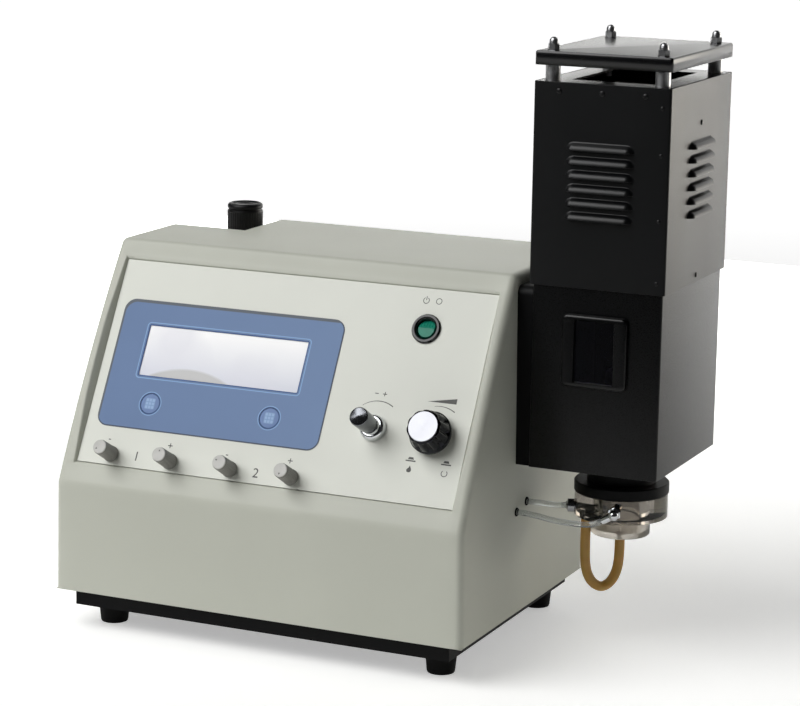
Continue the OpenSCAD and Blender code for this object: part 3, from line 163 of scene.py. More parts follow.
# Dark and dull, so that the black walls find nothing bright below the paper's front edge
concrete, shader = new_finish("dark studio floor")
wire(concrete, shader, Base_Color=tone("#222224"), Roughness=0.8,
     Normal=add(concrete, "Bump", Strength=0.2, Distance=0.001, Height=grain(concrete, 12.0)))
bare = np.array([[(x, y, -31.0) for x in (-6000.0, 6400.0)] for y in (-6000.0, 2400.0)])
bare = piece("studio_floor", bare, grid(bare), concrete)

# The bowl the camera sees is flat under the instrument and glows more from 0.5 to 2.2 m out, so
# every side has a plain pale ground. The sweep and the dark floor only light the object.
cove, shader = new_finish("white studio paper, lit from behind")
out = add(cove, "VectorMath:LENGTH", out="Value", i0=add(cove, "TexCoord", out="Object"))
glow = add(cove, "MapRange", Value=out, i1=0.5, i2=2.2, i3=0.42, i4=1.0)
wire(cove, shader, Base_Color=tone("#F6F6F4"), Roughness=0.9, Emission_Color=tone("#FFFFFF"),
     Emission_Strength=glow)
bowl_steps = 48
turn = np.linspace(0, 2 * np.pi, bowl_steps, endpoint=False)
bowl = np.stack([np.stack([208.0 + r * np.cos(turn), 120.0 + r * np.sin(turn), np.full(bowl_steps, z)], 1)
                 for r, z in ((10.0, -28.15), (2000.0, -28.15), (9000.0, -28.15), (11000.0, 400.0),
                              (12000.0, 2000.0), (12400.0, 9000.0))])
bowl = piece("paper_bowl", bowl, [range(bowl_steps), *grid(bowl, around=True)], cove)
for made in (floor, bare):
    made.visible_camera = False
bowl.visible_diffuse = bowl.visible_glossy = bowl.visible_transmission = bowl.visible_shadow = False


def soft_box(name, centre, target, size, power, spread, colour="#FFFFFF"):
    """An area light at a place in cabinet millimetres, turned to face a target."""
    lamp = bpy.data.lights.new(name, "AREA")
    lamp.shape, lamp.size, lamp.size_y = "RECTANGLE", size[0] / 1000.0, size[1] / 1000.0
    lamp.energy, lamp.spread = power, math.radians(spread)
    lamp.color = tone(colour)[:3]
    made = bpy.data.objects.new(name, lamp)
    bpy.context.scene.collection.objects.link(made)
    c, t = row(centre), row(target)
    z = (c - t) / np.linalg.norm(c - t)
    x = np.cross((0, 0, 1), z)
    x /= np.linalg.norm(x)
    m = np.eye(4)
    m[:3, 0], m[:3, 1], m[:3, 2], m[:3, 3] = x, np.cross(z, x), z, c
    made.matrix_world = Matrix(m.tolist())


soft_box("key_box", (-830, -1220, 1760), (170, 80, 120), (1900, 1900), 49.0, 180)
soft_box("side_box", (1500, 1700, 60), (400, 150, 200), (900, 1100), 2.9, 80, "#FFF8EC")
soft_box("sweep_box", (0, 800, 2600), (0, 2100, 300), (2400, 900), 21.0, 70)
room = bpy.data.worlds.new("dim room")
bpy.context.scene.world = room
room.use_nodes = True
room.node_tree.nodes["Background"].inputs[0].default_value = (1.0, 1.0, 1.0, 1.0)
room.node_tree.nodes["Background"].inputs[1].default_value = 0.02


# ---- The tubes ----
# Two thin clear tubes from the cabinet wall to the mixing chamber, and the amber drain loop
# under it: extruded tube, held at both ends, each a round section swept along its route.

def coated(name, colour, other, roughness, bump_mm, lump_mm, blend_mm=60.0, shine=0.5,
           **more):
    """A paint, plastic or rubber: two close tones in broad patches, and a fine even texture in its skin."""
    finish, shader = new_finish(name)
    patch = add(finish, "MapRange", Value=grain(finish, blend_mm, 3.0), i1=0.35, i2=0.65)
    mixed = add(finish, "Mix", {"data_type": "RGBA"}, 2, i0=patch, i6=tone(colour), i7=tone(other))
    skin = grain(finish, lump_mm, 3.0)
    relief = add(finish, "Bump", Strength=1.0, Distance=bump_mm / 1000.0, Height=skin)
    dull = add(finish, "MapRange", Value=skin, i3=roughness - 0.04, i4=roughness + 0.04)
    wire(finish, shader, Base_Color=mixed, Normal=relief, Roughness=dull, Specular_IOR_Level=shine, **more)
    return finish


def smooth(route, per=6):
    """A curve through the route's points (Catmull-Rom: each stretch is a cubic that leaves every
    point along the line between its neighbours)."""
    p = np.asarray(route, float)
    p = np.concatenate([[2 * p[0] - p[1]], p, [2 * p[-1] - p[-2]]])
    t = np.linspace(0, 1, per, endpoint=False)[:, None]
    out = [0.5 * (2 * b + (c - a) * t + (2 * a - 5 * b + 4 * c - d) * t ** 2
                  + (3 * b - a - 3 * c + d) * t ** 3)
           for a, b, c, d in zip(p[:-3], p[1:-2], p[2:-1], p[3:])]
    return np.concatenate(out + [p[-2:-1]])


def swept(path, radius, bore, side):
    """A tube's skin along a path: round rings of 24 points that stay square to it, with the bore
    turned in at both open ends."""
    t = np.gradient(path, axis=0)
    t /= np.linalg.norm(t, axis=1)[:, None]
    a = np.cross(t, side)
    a /= np.linalg.norm(a, axis=1)[:, None]
    b = np.cross(t, a)
    angle = np.linspace(0, 2 * np.pi, 24, endpoint=False)
    ring = np.cos(angle)[None, :, None] * a[:, None] + np.sin(angle)[None, :, None] * b[:, None]
    order = [(0, bore, 3 * bore), (0, bore, 0.0), *((i, radius, 0.0) for i in range(len(path))),
             (-1, bore, 0.0), (-1, bore, -3 * bore)]
    rows = np.stack([path[i] + t[i] * push + r * ring[i] for i, r, push in order])
    return rows, grid(rows, around=True)


air_route = [[303, 111.7, 75.3], [307, 111.7, 75.3], [311, 111.8, 75.3], [315, 113, 75],
             [318, 116, 74.2], [320, 120, 73], [321.6, 124.5, 71.8], [323.2, 128.8, 70.6],
             [325.4, 132.6, 69.8], [328.4, 135.5, 69.5]]
gas_route = [[303, 93.6, 71.8], [307, 93.6, 71.8], [311, 93.7, 71.8], [317, 94.2, 71.4],
             [324, 95.4, 70.4], [331, 97.4, 68.8], [338, 100.2, 67.2], [345, 103.6, 66],
             [352, 106.8, 65.2], [357.6, 108.8, 65.5], [361.8, 109.4, 66.9], [365.4, 109.5, 68.8]]
# the drain's route lies in one upright plane: distance from the mixing chamber's nipple, and z
drain_route = [[0, 64.2], [0, 57.6], [0, 51], [0, 45.5], [0.1, 40], [0.3, 34.5], [0.9, 29],
               [2.4, 23.8], [5, 19], [8.8, 15.3], [13.6, 13.4], [18.4, 14.8], [22, 18.2],
               [24.4, 22.8], [25.8, 28], [26.4, 33.5], [26.6, 39], [26.6, 44.5], [26.6, 50.7]]
burner = np.array((364.3, 149.8))
drain_from = np.array((-18.3, -19.4))
drain_line = -drain_from / np.linalg.norm(drain_from)
flat = smooth(drain_route, 5)
drain_path = np.concatenate([burner + drain_from + drain_line * flat[:, :1], flat[:, 1:]], 1)

# Soft clear plastic: bright edges with the room bent through it
clear_tube, shader = new_finish("clear PVC tube")
wire(clear_tube, shader, Base_Color=tone("#EEF2F2"), Roughness=0.12, Transmission_Weight=0.85, IOR=1.45,
     Normal=add(clear_tube, "Bump", Strength=0.3, Distance=0.0001, Height=grain(clear_tube, 2.0)))
# Latex lets light in below its skin, so the loop glows a little where it is thin
latex = coated("amber latex", "#BE964A", "#B28C42", 0.34, 0.02, 0.8, 12.0, 0.45,
               Subsurface_Weight=0.6, Subsurface_Radius=(0.004, 0.002, 0.0008), Subsurface_Scale=1.0)
for name, path, radius, bore, side, finish, slot, stiffness in (
        ("air_tube", smooth(air_route), 2.0, 1.1, (0, 0, 1), clear_tube, "clear_tube", "medium"),
        ("gas_tube", smooth(gas_route), 2.0, 1.1, (0, 0, 1), clear_tube, "clear_tube", "medium"),
        ("drain_tube", drain_path, 3.5, 2.0, (drain_line[1], -drain_line[0], 0), latex, "latex", "limp")):
    tube = piece(name + "_skin", *swept(path, radius, bore, side), finish, stands_for=[name], slot=slot)


# ---- The cabinet ----
# One moulding of light warm grey ABS with a fine spark-eroded texture: upright front, soft bend,
# bulged slope with a recess for the control panel, flat top, and a notch at the back left.
# Its skin is the side view's outline carried across the width, drawn in towards each side on a
# rounded edge; columns of points follow the recess's edge, and the quads in the openings are left out.

wide, deep, tall, edge = 310.0, 222.0, 237.0, 5.0
notch_x, notch_y = 64.6, 159.7
slope_run, slope_rise, slope_foot, bulge, bend = 88.5, 160.0, 77.0, 3.6, 14.0
panel_from, panel_sunk, panel_l, panel_tall, gap = 17.4, 1.4, 12.2, 150.0, 0.3
lean = math.atan(slope_run / slope_rise)
slope_up = np.array((0.0, math.sin(lean), math.cos(lean)))
slope_out = np.array((0.0, -math.cos(lean), math.sin(lean)))


def slope(u, v, h=0.0):
    """Cabinet millimetres of a place on the control panel: u from the cabinet's left side, v up the
    slope and h out of the panel's face, each along its own direction from the panel's lower edge."""
    u, v, h = np.broadcast_arrays(np.asarray(u, float), np.asarray(v, float), np.asarray(h, float))
    low = np.array((0.0, 0.0, slope_foot)) + panel_from * slope_up - panel_sunk * slope_out
    return u[..., None] * (1, 0, 0) + low + v[..., None] * slope_up + h[..., None] * slope_out


def rise(yz):
    """Height of side-view points over the control panel's plane, and their distance up the slope."""
    d = np.asarray(yz, float) - slope(0, 0)[1:]
    return d @ slope_out[1:], d @ slope_up[1:]


def bent(centre, r, angles):
    """An arc's side-view points, each with its normal's angle: centre + r (cos a, sin a), and a."""
    a = np.radians(angles)
    return np.stack([centre[0] + r * np.cos(a), centre[1] + r * np.sin(a), angles], 1)


def ease(x):
    """A soft step from 0 to 1: x squared times three less twice x, with x held between them."""
    x = np.clip(x, 0.0, 1.0)
    return x ** 2 * (3.0 - 2.0 * x)


# The bulge is one big arc over the slope's chord; the bend below it and the crest above touch it
big_r = (math.hypot(slope_run, slope_rise) ** 2 / 4 + bulge ** 2) / (2 * bulge)
big_c = np.array((slope_run / 2 + (big_r - bulge) * math.cos(lean),
                  slope_foot + slope_rise / 2 - (big_r - bulge) * math.sin(lean)))
bend_c = np.array((bend, big_c[1] + math.sqrt((big_r - bend) ** 2 - (big_c[0] - bend) ** 2)))
crest_z = tall - edge
crest_c = np.array((big_c[0] - math.sqrt((big_r - edge) ** 2 - (crest_z - big_c[1]) ** 2), crest_z))
bend_a = math.degrees(math.atan2(*(bend_c - big_c)[::-1]))
crest_a = math.degrees(math.atan2(*(crest_c - big_c)[::-1]))

# The recess's walls flare by 33 degrees from the panel up to the bulge: where they meet it, the
# outline has rows of points, and finer ones just inside
flare = math.tan(math.radians(33.0))
fine_a = np.linspace(bend_a, crest_a, 4000)
height, along = rise(bent(big_c, big_r, fine_a)[:, :2])
low_a, high_a = (fine_a[np.argmin(np.abs(along - v - sign * flare * height))]
                 for sign, v in ((-1, -gap), (1, panel_tall + gap)))
near = (high_a - low_a) * np.array([0.008, 0.016, 0.03])
slope_a = np.unique(np.concatenate([
    np.linspace(bend_a, low_a, 6), low_a + near, np.linspace(low_a, high_a, 33), high_a - near,
    np.linspace(high_a, crest_a, 6)]))[::-1]
below = np.concatenate([[(0.0, 0.0, 180.0), (0.0, 30.0, 180.0)],
                        bent(bend_c, bend, np.linspace(180, bend_a, 9)[:-1])])
outline = np.concatenate([
    below, bent(big_c, big_r, slope_a), bent(crest_c, edge, np.linspace(crest_a, 90, 8)[1:]),
    [(y, tall, 90.0) for y in (120.0, notch_y, 190.0)],
    bent((deep - edge, crest_z), edge, np.linspace(90, 0, 8)),
    [(deep, z, 0.0) for z in (225.0, 120.0, 12.0, 0.0)]])
yz, angle = outline[:, :2], np.radians(outline[:, 2])
normal = np.stack([np.cos(angle), np.sin(angle)], 1)
on_slope = np.isin(np.arange(len(outline)), len(below) + np.arange(len(slope_a)))
first = len(below) + np.argmin(np.abs(slope_a - low_a))
last = len(below) + np.argmin(np.abs(slope_a - high_a))
height, along = rise(yz)
height[:first], height[last + 1:] = height[first], height[last]

# The side walls' flare narrows to a quarter over the last 45 mm towards the recess's ends
near_end = np.clip(np.minimum(along, panel_tall - along) / 45.0, 0.0, 1.0)
hole_left = panel_l - flare * height * np.where(on_slope, 0.25 + 0.75 * near_end, 0.25)
draft = 3.2 / tall
turn = np.radians([90, 75, 60, 45, 30, 15, 0])


def rounded_edge(side_x, inward, turns):
    """Columns round a side's edge: the outline sinks by r (1 - cos t) where it stands r (1 - sin t)
    in from the side wall, which leans in by the mould's draft."""
    made = []
    for t in turns:
        p = yz - normal * edge * (1 - math.cos(t))
        x = side_x + inward * (edge * (1 - math.sin(t)) + draft * np.clip(p[:, 1], 0, None))
        made.append(np.stack([x, *p.T], 1))
    return made


fields = (hole_left, 17.0, 26.0, 40.0, notch_x, 76.6, 155.0, 233.0, 270.0, 284.0, 294.8, wide - hole_left)
skin = np.stack(rounded_edge(0.0, 1.0, turn)
                + [np.stack([np.broadcast_to(x, len(yz)), *yz.T], 1) for x in fields]
                + rounded_edge(wide, -1.0, turn[::-1]), 1)
edge_l, notch_c, rear_l, rear_r, edge_r = 7, 11, 12, 17, 18

# Above and below the recess the slope dips softly by up to 1.9 mm within 13 mm of it, fading out
# from 20 to 4 mm off the sides, so that its edge there is nearly flush
past = np.where(along > panel_tall / 2, along - along[last], along[first] - along)
fade = np.where(on_slope & (past >= -0.5), ease(1.0 - past / 13.0), 0.0)
inset = np.minimum(skin[:, edge_l:edge_r + 1, 0], wide - skin[:, edge_l:edge_r + 1, 0])
dip = 1.9 * fade[:, None] * ease((inset - 4.0) / 16.0)
skin[:, edge_l:edge_r + 1, 1:] -= dip[..., None] * slope_out[1:]
skin[..., 2] = np.clip(skin[..., 2], 0, None)

# Openings: the recess, the notch, and the rear cover's place
wanted = np.ones((skin.shape[0] - 1, skin.shape[1] - 1), bool)
wanted[first:last, edge_l:edge_r] = False
notch_row = int(np.flatnonzero((yz[:, 0] == notch_y) & (yz[:, 1] == tall))[0])
wanted[notch_row:, :notch_c] = False
wanted[-3:-1, rear_l:rear_r] = False
sheets = [(skin, grid(skin, keep=wanted))]

# Four flat walls, each one many-sided face: the two sides inside the rounded edges, and the notch's
corner, notch_foot = (notch_x, notch_y, 0.0), (skin[0, 0, 0], notch_y, 0.0)
for wall in (np.concatenate([skin[:notch_row + 1, 0], [notch_foot]]), skin[:, -1],
             np.concatenate([skin[notch_row, :notch_c + 1], [corner, notch_foot]]),
             np.concatenate([skin[notch_row:, notch_c], [corner]])):
    sheets.append((wall, [range(len(wall))]))

# The lip that turns in under the walls, 14 mm at the sides and 12 mm at the front and back
side_lip, end_lip = 14.0, 12.0
lip = [(0, 0), (wide, 0), (wide, deep), (notch_x, deep), (notch_x, notch_y), (0, notch_y)]
inner = [(side_lip, end_lip), (wide - side_lip, end_lip), (wide - side_lip, deep - end_lip),
         (notch_x + side_lip, deep - end_lip), (notch_x + side_lip, notch_y - side_lip),
         (side_lip, notch_y - side_lip)]
sheets.append((np.array([(x, y, 0.0) for x, y in lip + inner]),
               [(i, (i + 1) % 6, 6 + (i + 1) % 6, 6 + i) for i in range(6)]))

# The recess: a flared wall down to the panel, an upright step beside it, and the ledge under it
ring = np.concatenate([skin[first:last, edge_l], skin[last, edge_l:edge_r],
                       skin[last:first:-1, edge_r], skin[first, edge_r:edge_l:-1]])
v = rise(ring[:, 1:])[1]
u_in, v_in = np.clip(ring[:, 0], panel_l, wide - panel_l), np.clip(v, -gap, panel_tall + gap)
u_ledge, v_ledge = np.clip(u_in, 19, wide - 19), np.clip(v_in, 7, panel_tall - 7)
loops = np.stack([ring, slope(u_in, v_in), slope(u_in, v_in, -2.05),
                  slope(u_ledge, v_ledge, -2.05), slope(u_ledge, v_ledge, -5)])
sheets.append((loops, grid(loops, around=True)))


def parts(*pairs):
    """Several (points, faces) pairs as one; faces count from each pair's own first point."""
    points, faces, n = [], [], 0
    for p, f in pairs:
        p = np.asarray(p, float).reshape(-1, 3)
        points.append(p)
        faces += [tuple(int(i) + n for i in q) for q in f]
        n += len(p)
    return np.concatenate(points), faces


def soften(made, width_mm, segments=3, angle=35.0):
    """Rounds a piece's sharp edges, as moulding and folding do."""
    bevel = made.modifiers.new("rounded edges", "BEVEL")
    bevel.width, bevel.segments = width_mm / 1000.0, segments
    bevel.limit_method, bevel.angle_limit = "ANGLE", math.radians(angle)
    bevel.harden_normals = True
    bevel.use_clamp_overlap = False


# Moulded ABS is satin: soft broad highlights, and a tone that hardly changes over the large faces
moulding = coated("light grey ABS, fine texture", "#C9CBBF", "#C6C8BC", 0.46, 0.03, 0.55, 90.0,
                  shine=0.4)
shell = piece("cabinet_moulding", *parts(*sheets), moulding, stands_for=["housing_shell"],
              slot="enclosure_plastic")
# its sheets' shared edges are joined, and its faces turned outward
bm = bmesh.new()
bm.from_mesh(shell.data)
bmesh.ops.remove_doubles(bm, verts=bm.verts, dist=0.00002)
bmesh.ops.recalc_face_normals(bm, faces=bm.faces)
bm.to_mesh(shell.data)
bm.free()
shell.data.polygons.foreach_set("use_smooth", np.ones(len(shell.data.polygons), bool))
shell.data.set_sharp_from_angle(angle=math.radians(35))
soften(shell, 0.9)


# ---- Base tray, feet and screws ----
# Black painted tray under the cabinet on four turned rubber feet, held by zinc-plated screws.

def paint(node, finish):
    """Gives a carried-over CAD node its finish, and soft shading across gentle curves."""
    mesh = nodes[node].data
    mesh.materials.clear()
    mesh.materials.append(finish)
    if "custom_normal" in mesh.attributes:
        mesh.attributes.remove(mesh.attributes["custom_normal"])
    mesh.polygons.foreach_set("use_smooth", np.ones(len(mesh.polygons), bool))
    mesh.set_sharp_from_angle(angle=math.radians(32))


def metal(name, colour, roughness, line_mm=0.15, stretch=(1, 1, 14), scratch=0.02):
    """A bare metal: fine drawn or turned lines that tilt the surface a little and vary its gloss."""
    finish, shader = new_finish(name)
    where = add(finish, "Mapping", Vector=add(finish, "TexCoord", out="Object"),
                Scale=tuple(1.0 / s for s in stretch))
    lines = add(finish, "TexNoise", Vector=where, Scale=1000.0 / line_mm, Detail=2.0, Roughness=0.6)
    dull = add(finish, "MapRange", Value=lines, i3=max(roughness - 0.07, 0.01), i4=roughness + 0.07)
    relief = add(finish, "Bump", Strength=0.4, Distance=scratch / 1000.0, Height=lines)
    wire(finish, shader, Base_Color=tone(colour), Metallic=1.0, Roughness=dull, Normal=relief)
    return finish


# Matt paint shows no reflection, only its form; rubber is duller still; zinc is pale and satin
shade_black = coated("black matt paint", "#050608", "#040405", 0.5, 0.04, 0.5, 70.0, shine=0.16)
rubber = coated("black rubber", "#0A0A0A", "#080808", 0.62, 0.05, 0.7, 9.0, shine=0.15)
steel = metal("zinc-plated steel", "#B9BABC", 0.32)
paint("base_tray", shade_black)
paint("rubber_feet", rubber)
paint("cabinet_screws", steel)


# ---- The control panel ----
# A plate in the recess, sprayed with a pale satin enamel and printed afterwards. The enamel is
# smoother and a little whiter than the moulding round it.

paint("control_panel", coated("pale panel enamel", "#E3E5DB", "#E0E2D8", 0.40, 0.01, 0.6, 80.0))


# ---- The membrane overlay ----
# Blue polyester film, printed on its back: a grey line along its edge, a pale line round the
# display window, rings and small square marks on the two keys, which are domed into the film.

def turned(profile, centre, axis, steps=64, wave=None):
    """A surface of revolution: profile rows are (radius, height) along axis from centre.
    wave(angle, radius, height) may return changed radii for flutes and lobes."""
    axis = np.asarray(axis, float) / np.linalg.norm(axis)
    a = np.cross(axis, (0, 0, 1) if abs(axis[2]) < 0.9 else (1, 0, 0))
    a /= np.linalg.norm(a)
    b = np.cross(axis, a)
    angle = np.linspace(0, 2 * np.pi, steps, endpoint=False)
    profile = np.asarray(profile, float)
    r = np.repeat(profile[:, :1], steps, 1)
    if wave is not None:
        r = wave(np.repeat(angle[None], len(profile), 0), r, np.repeat(profile[:, 1:2], steps, 1))
    out = (np.asarray(centre, float) + profile[:, 1, None, None] * axis
           + r[..., None] * (np.cos(angle)[None, :, None] * a + np.sin(angle)[None, :, None] * b))
    return out, grid(out, around=True)


def slope_place(finish):
    """Shader sockets for u and v: dot products of the place with the slope's own directions."""
    here = add(finish, "VectorMath:SUBTRACT", i0=add(finish, "TexCoord", out="Object"),
               i1=tuple(row(slope(0, 0))))
    return [add(finish, "VectorMath:DOT_PRODUCT", out="Value", i0=here, i1=tuple(way))
            for way in (np.array((1000.0, 0, 0)), 1000.0 * slope_up)]


def rounded(finish, u, v, cu, cv, w, h, r):
    """Distance out from a rounded rectangle's edge: the length of how far a place lies beyond the
    inner rectangle, less the corner's radius."""
    sides = []
    for socket, c, half in ((u, cu, w / 2 - r), (v, cv, h / 2 - r)):
        away = add(finish, "Math:ABSOLUTE",
                   i0=add(finish, "Math:SUBTRACT", i0=socket, i1=c))
        sides.append(add(finish, "Math:MAXIMUM",
                         i0=add(finish, "Math:SUBTRACT", i0=away, i1=half), i1=0.0))
    both = add(finish, "CombineXYZ", i0=sides[0], i1=sides[1])
    far = add(finish, "VectorMath:LENGTH", out="Value", i0=both)
    return add(finish, "Math:SUBTRACT", i0=far, i1=r)


def band(finish, distance, low, high, soft=0.12):
    """1 where a distance lies between low and high, fading over soft millimetres."""
    climb = add(finish, "MapRange", Value=distance, i1=low - soft, i2=low + soft)
    fall = add(finish, "MapRange", Value=distance, i1=high - soft, i2=high + soft, i3=1.0, i4=0.0)
    return add(finish, "Math:MULTIPLY", i0=climb, i1=fall)


def over(finish, under, colour, mask):
    """Lays a colour over another where the mask is 1."""
    return add(finish, "Mix", {"data_type": "RGBA"}, 2, i0=mask, i6=under, i7=tone(colour))


# (u, v, width, height, corner radius) of the film, of a rect shifted to its lower right outside which the
# film's top and left edges get painted shade, and of the printed window
film_rect, pocket_shade_rect = (105.6, 74.4, 172.0, 94.0, 8.5), (109.6, 69.4, 177.0, 99.6, 8.0)
glass_u, glass_v = 105.2, 84.9
glass_rect = (glass_u, glass_v, 123.4, 36.6, 0.6)
keys, key_v = {"left": 58.1, "right": 150.9}, 46.7

# Printed film is smooth and nearly matt; its blue is painted a little paler to the right: painted light, as
# flat light falls across it
film, shader = new_finish("printed polyester film")
u, v = slope_place(film)
ink = over(film, tone("#6F87AE"), "#7B93B9", add(film, "MapRange", Value=u, i1=20.0, i2=190.0))
patch = add(film, "MapRange", Value=grain(film, 45.0), i1=0.35, i2=0.65, i4=0.5)
ink = over(film, ink, "#768EB6", patch)
# Painted shade: a broad dark grey along the film's top and left edges, outside the shifted second rect,
# stands for the shade of the pocket's walls; the thin grey line along the edge and the pale line round the
# window are print
for rect, colour, low, high, soft in (
        (film_rect, "#57606F", -0.9, 3.0, 0.2), (pocket_shade_rect, "#6A7078", 0.0, 30.0, 0.3),
        # painted shade: the dark blue line just round the window stands for the shade of its sunk edge
        (glass_rect, "#4A6496", -9.0, 0.8, 0.12), (glass_rect, "#93B6E0", 1.7, 2.4, 0.12)):
    ink = over(film, ink, colour, band(film, rounded(film, u, v, *rect), low, high, soft))
for key_u in keys.values():
    key_d = rounded(film, u, v, key_u, key_v, 0.2, 0.2, 0.1)
    for colour, low, high in (("#93B5DE", 8.0, 8.6), ("#46608F", 6.8, 7.8), ("#7A92BF", -9.0, 6.6)):
        ink = over(film, ink, colour, band(film, key_d, low, high))
    mark = band(film, rounded(film, u, v, key_u, key_v, 7.0, 7.4, 0.8), -9, 0, 0.5)
    ink = over(film, ink, "#A0BDE2", mark)
    for socket, middle in ((u, key_u), (v, key_v)):
        for off in (-1.2, 1.2):
            away = add(film, "Math:SUBTRACT", i0=socket, i1=middle + off)
            line = add(film, "Math:MULTIPLY", i0=band(film, away, -0.25, 0.25, 0.2), i1=mark)
            ink = over(film, ink, "#86A3CE", line)
wire(film, shader, Base_Color=ink, Roughness=0.42, Specular_IOR_Level=0.12,
     Normal=add(film, "Bump", Strength=0.3, Distance=0.00003, Height=grain(film, 0.5)))


def outline_of(cx, cy, w, h, r, n):
    """A rounded rectangle's points: an arc of n steps at each corner, joined by straights."""
    return np.concatenate([arc(cx + sx * (w / 2 - r), cy + sy * (h / 2 - r), r, a, a + 90, n)
                           for sx, sy, a in ((1, -1, -90), (1, 1, 0), (-1, 1, 90), (-1, -1, 180))])


def sheet_with_holes(rings, h):
    """Fills the space between an outer ring of (u, v) points and its holes, flat at height h."""
    bm = bmesh.new()
    edges = []
    for ring in rings:
        made = [bm.verts.new(row(slope(a, b, h))) for a, b in ring]
        edges += [bm.edges.new((made[i - 1], made[i])) for i in range(len(made))]
    bmesh.ops.triangle_fill(bm, use_beauty=True, use_dissolve=False, edges=edges)
    bm.verts.index_update()
    points = np.array([v.co[:] for v in bm.verts]) * 1000.0 - row((0, 0, 0)) * 1000.0
    faces = [[v.index for v in f.verts] for f in bm.faces]
    bm.free()
    p = points[np.array(faces)]
    out = np.cross(p[:, 1] - p[:, 0], p[:, 2] - p[:, 0]) @ slope_out
    return points, [f if up > 0 else f[::-1] for f, up in zip(faces, out)]


key_hole = 14.9
rings = [outline_of(*film_rect, 8), outline_of(*glass_rect, 3)]
rings += [outline_of(key_u, key_v, key_hole, key_hole, key_hole / 2 - 0.001, 12) for key_u in keys.values()]
overlay = piece("overlay_film", *sheet_with_holes(rings, 0.22), film, stands_for=["membrane_overlay"],
                slot="blue_film")
layer = overlay.modifiers.new("film", "SOLIDIFY")
layer.thickness, layer.offset = 0.0002, -1.0
overlay.data.shade_flat()
dome = [(0.01, 0.34), (3.0, 0.32), (5.2, 0.24), (6.4, 0.12), (6.9, 0.02), (7.3, 0.0), (7.3, -0.7)]
for side, key_u in keys.items():
    piece("key_dome_" + side, *turned(dome, slope(key_u, key_v), slope_out, 72), film, "key_" + side,
          ["key_" + side], "blue_film")


# ---- The display ----
# Acrylic window over a liquid crystal display that is off, so its polariser shows a bright silvery
# grey with soft clouds. The window is a thin plate with polished edges.

def clear(name, colour, roughness=0.02):
    """A clear plastic or glass, with a faint ripple in its polished faces."""
    finish, shader = new_finish(name)
    relief = add(finish, "Bump", Strength=0.15, Distance=0.0001, Height=grain(finish, 8.0))
    wire(finish, shader, Base_Color=tone(colour), Roughness=roughness, Transmission_Weight=1.0,
         IOR=1.49, Normal=relief)
    return finish


# The plate and the polariser are one glossy surface. Painted reflections lie in its colour: it is painted
# brighter up the slope, with the painted low grey hump of something rounded that it mirrors; the clouds are
# its own uneven tone.
lcd, shader = new_finish("display polariser behind acrylic")
u, v = slope_place(lcd)
lcd_tone_and_painted_reflection = over(lcd, tone("#CBCEDA"), "#F8F8F8", add(lcd, "MapRange", Value=v, i1=70.0, i2=101.0))
cloud = add(lcd, "MapRange", Value=grain(lcd, 48.0, 1.0), i1=0.45, i2=0.7, i4=0.5)
lcd_tone_and_painted_reflection = over(lcd, lcd_tone_and_painted_reflection, "#D0D0DC", cloud)
# painted reflection: the low grey hump, a mirror image painted into the display's colour
painted_reflection_hump = rounded(lcd, u, v, 82.0, 6.3, 0.2, 0.2, 0.1)
lcd_tone_and_painted_reflection = over(lcd, lcd_tone_and_painted_reflection, "#AEAEAE", band(lcd, painted_reflection_hump, -90.0, 67.7, 0.9))
wire(lcd, shader, Base_Color=lcd_tone_and_painted_reflection, Roughness=0.16, Specular_IOR_Level=0.7,
     Normal=add(lcd, "Bump", Strength=0.1, Distance=0.0002, Height=grain(lcd, 30.0)))
face = [slope(glass_u + a * 62.5, glass_v + b * 19.2, h) for h in (-0.3, -0.78)
        for a, b in ((-1, -1), (1, -1), (1, 1), (-1, 1))]
window = piece("display_pane", np.array(face),
               [(0, 1, 2, 3), (7, 6, 5, 4), (0, 4, 5, 1), (1, 5, 6, 2), (2, 6, 7, 3), (3, 7, 4, 0)],
               lcd, stands_for=["display_window"], slot="clear_acrylic")
soften(window, 0.15, 2)


# ---- The range knobs ----
# Four small fluted knobs of grey plastic on their shafts, each with a cap pressed into its top and a small
# mark printed on it; turned profiles, with the flutes cut into the sides. The caps are painted paler, as
# painted light on the knobs' tops, and the grips darker, as painted shade on their sides.

def flutes(angle, r, h):
    """24 flutes, 0.34 mm deep, between two heights: a raised cosine of 24 times the angle."""
    return r - 0.34 * (0.5 - 0.5 * np.cos(24 * angle)) * ((h > 2.4) & (h < 17.4))


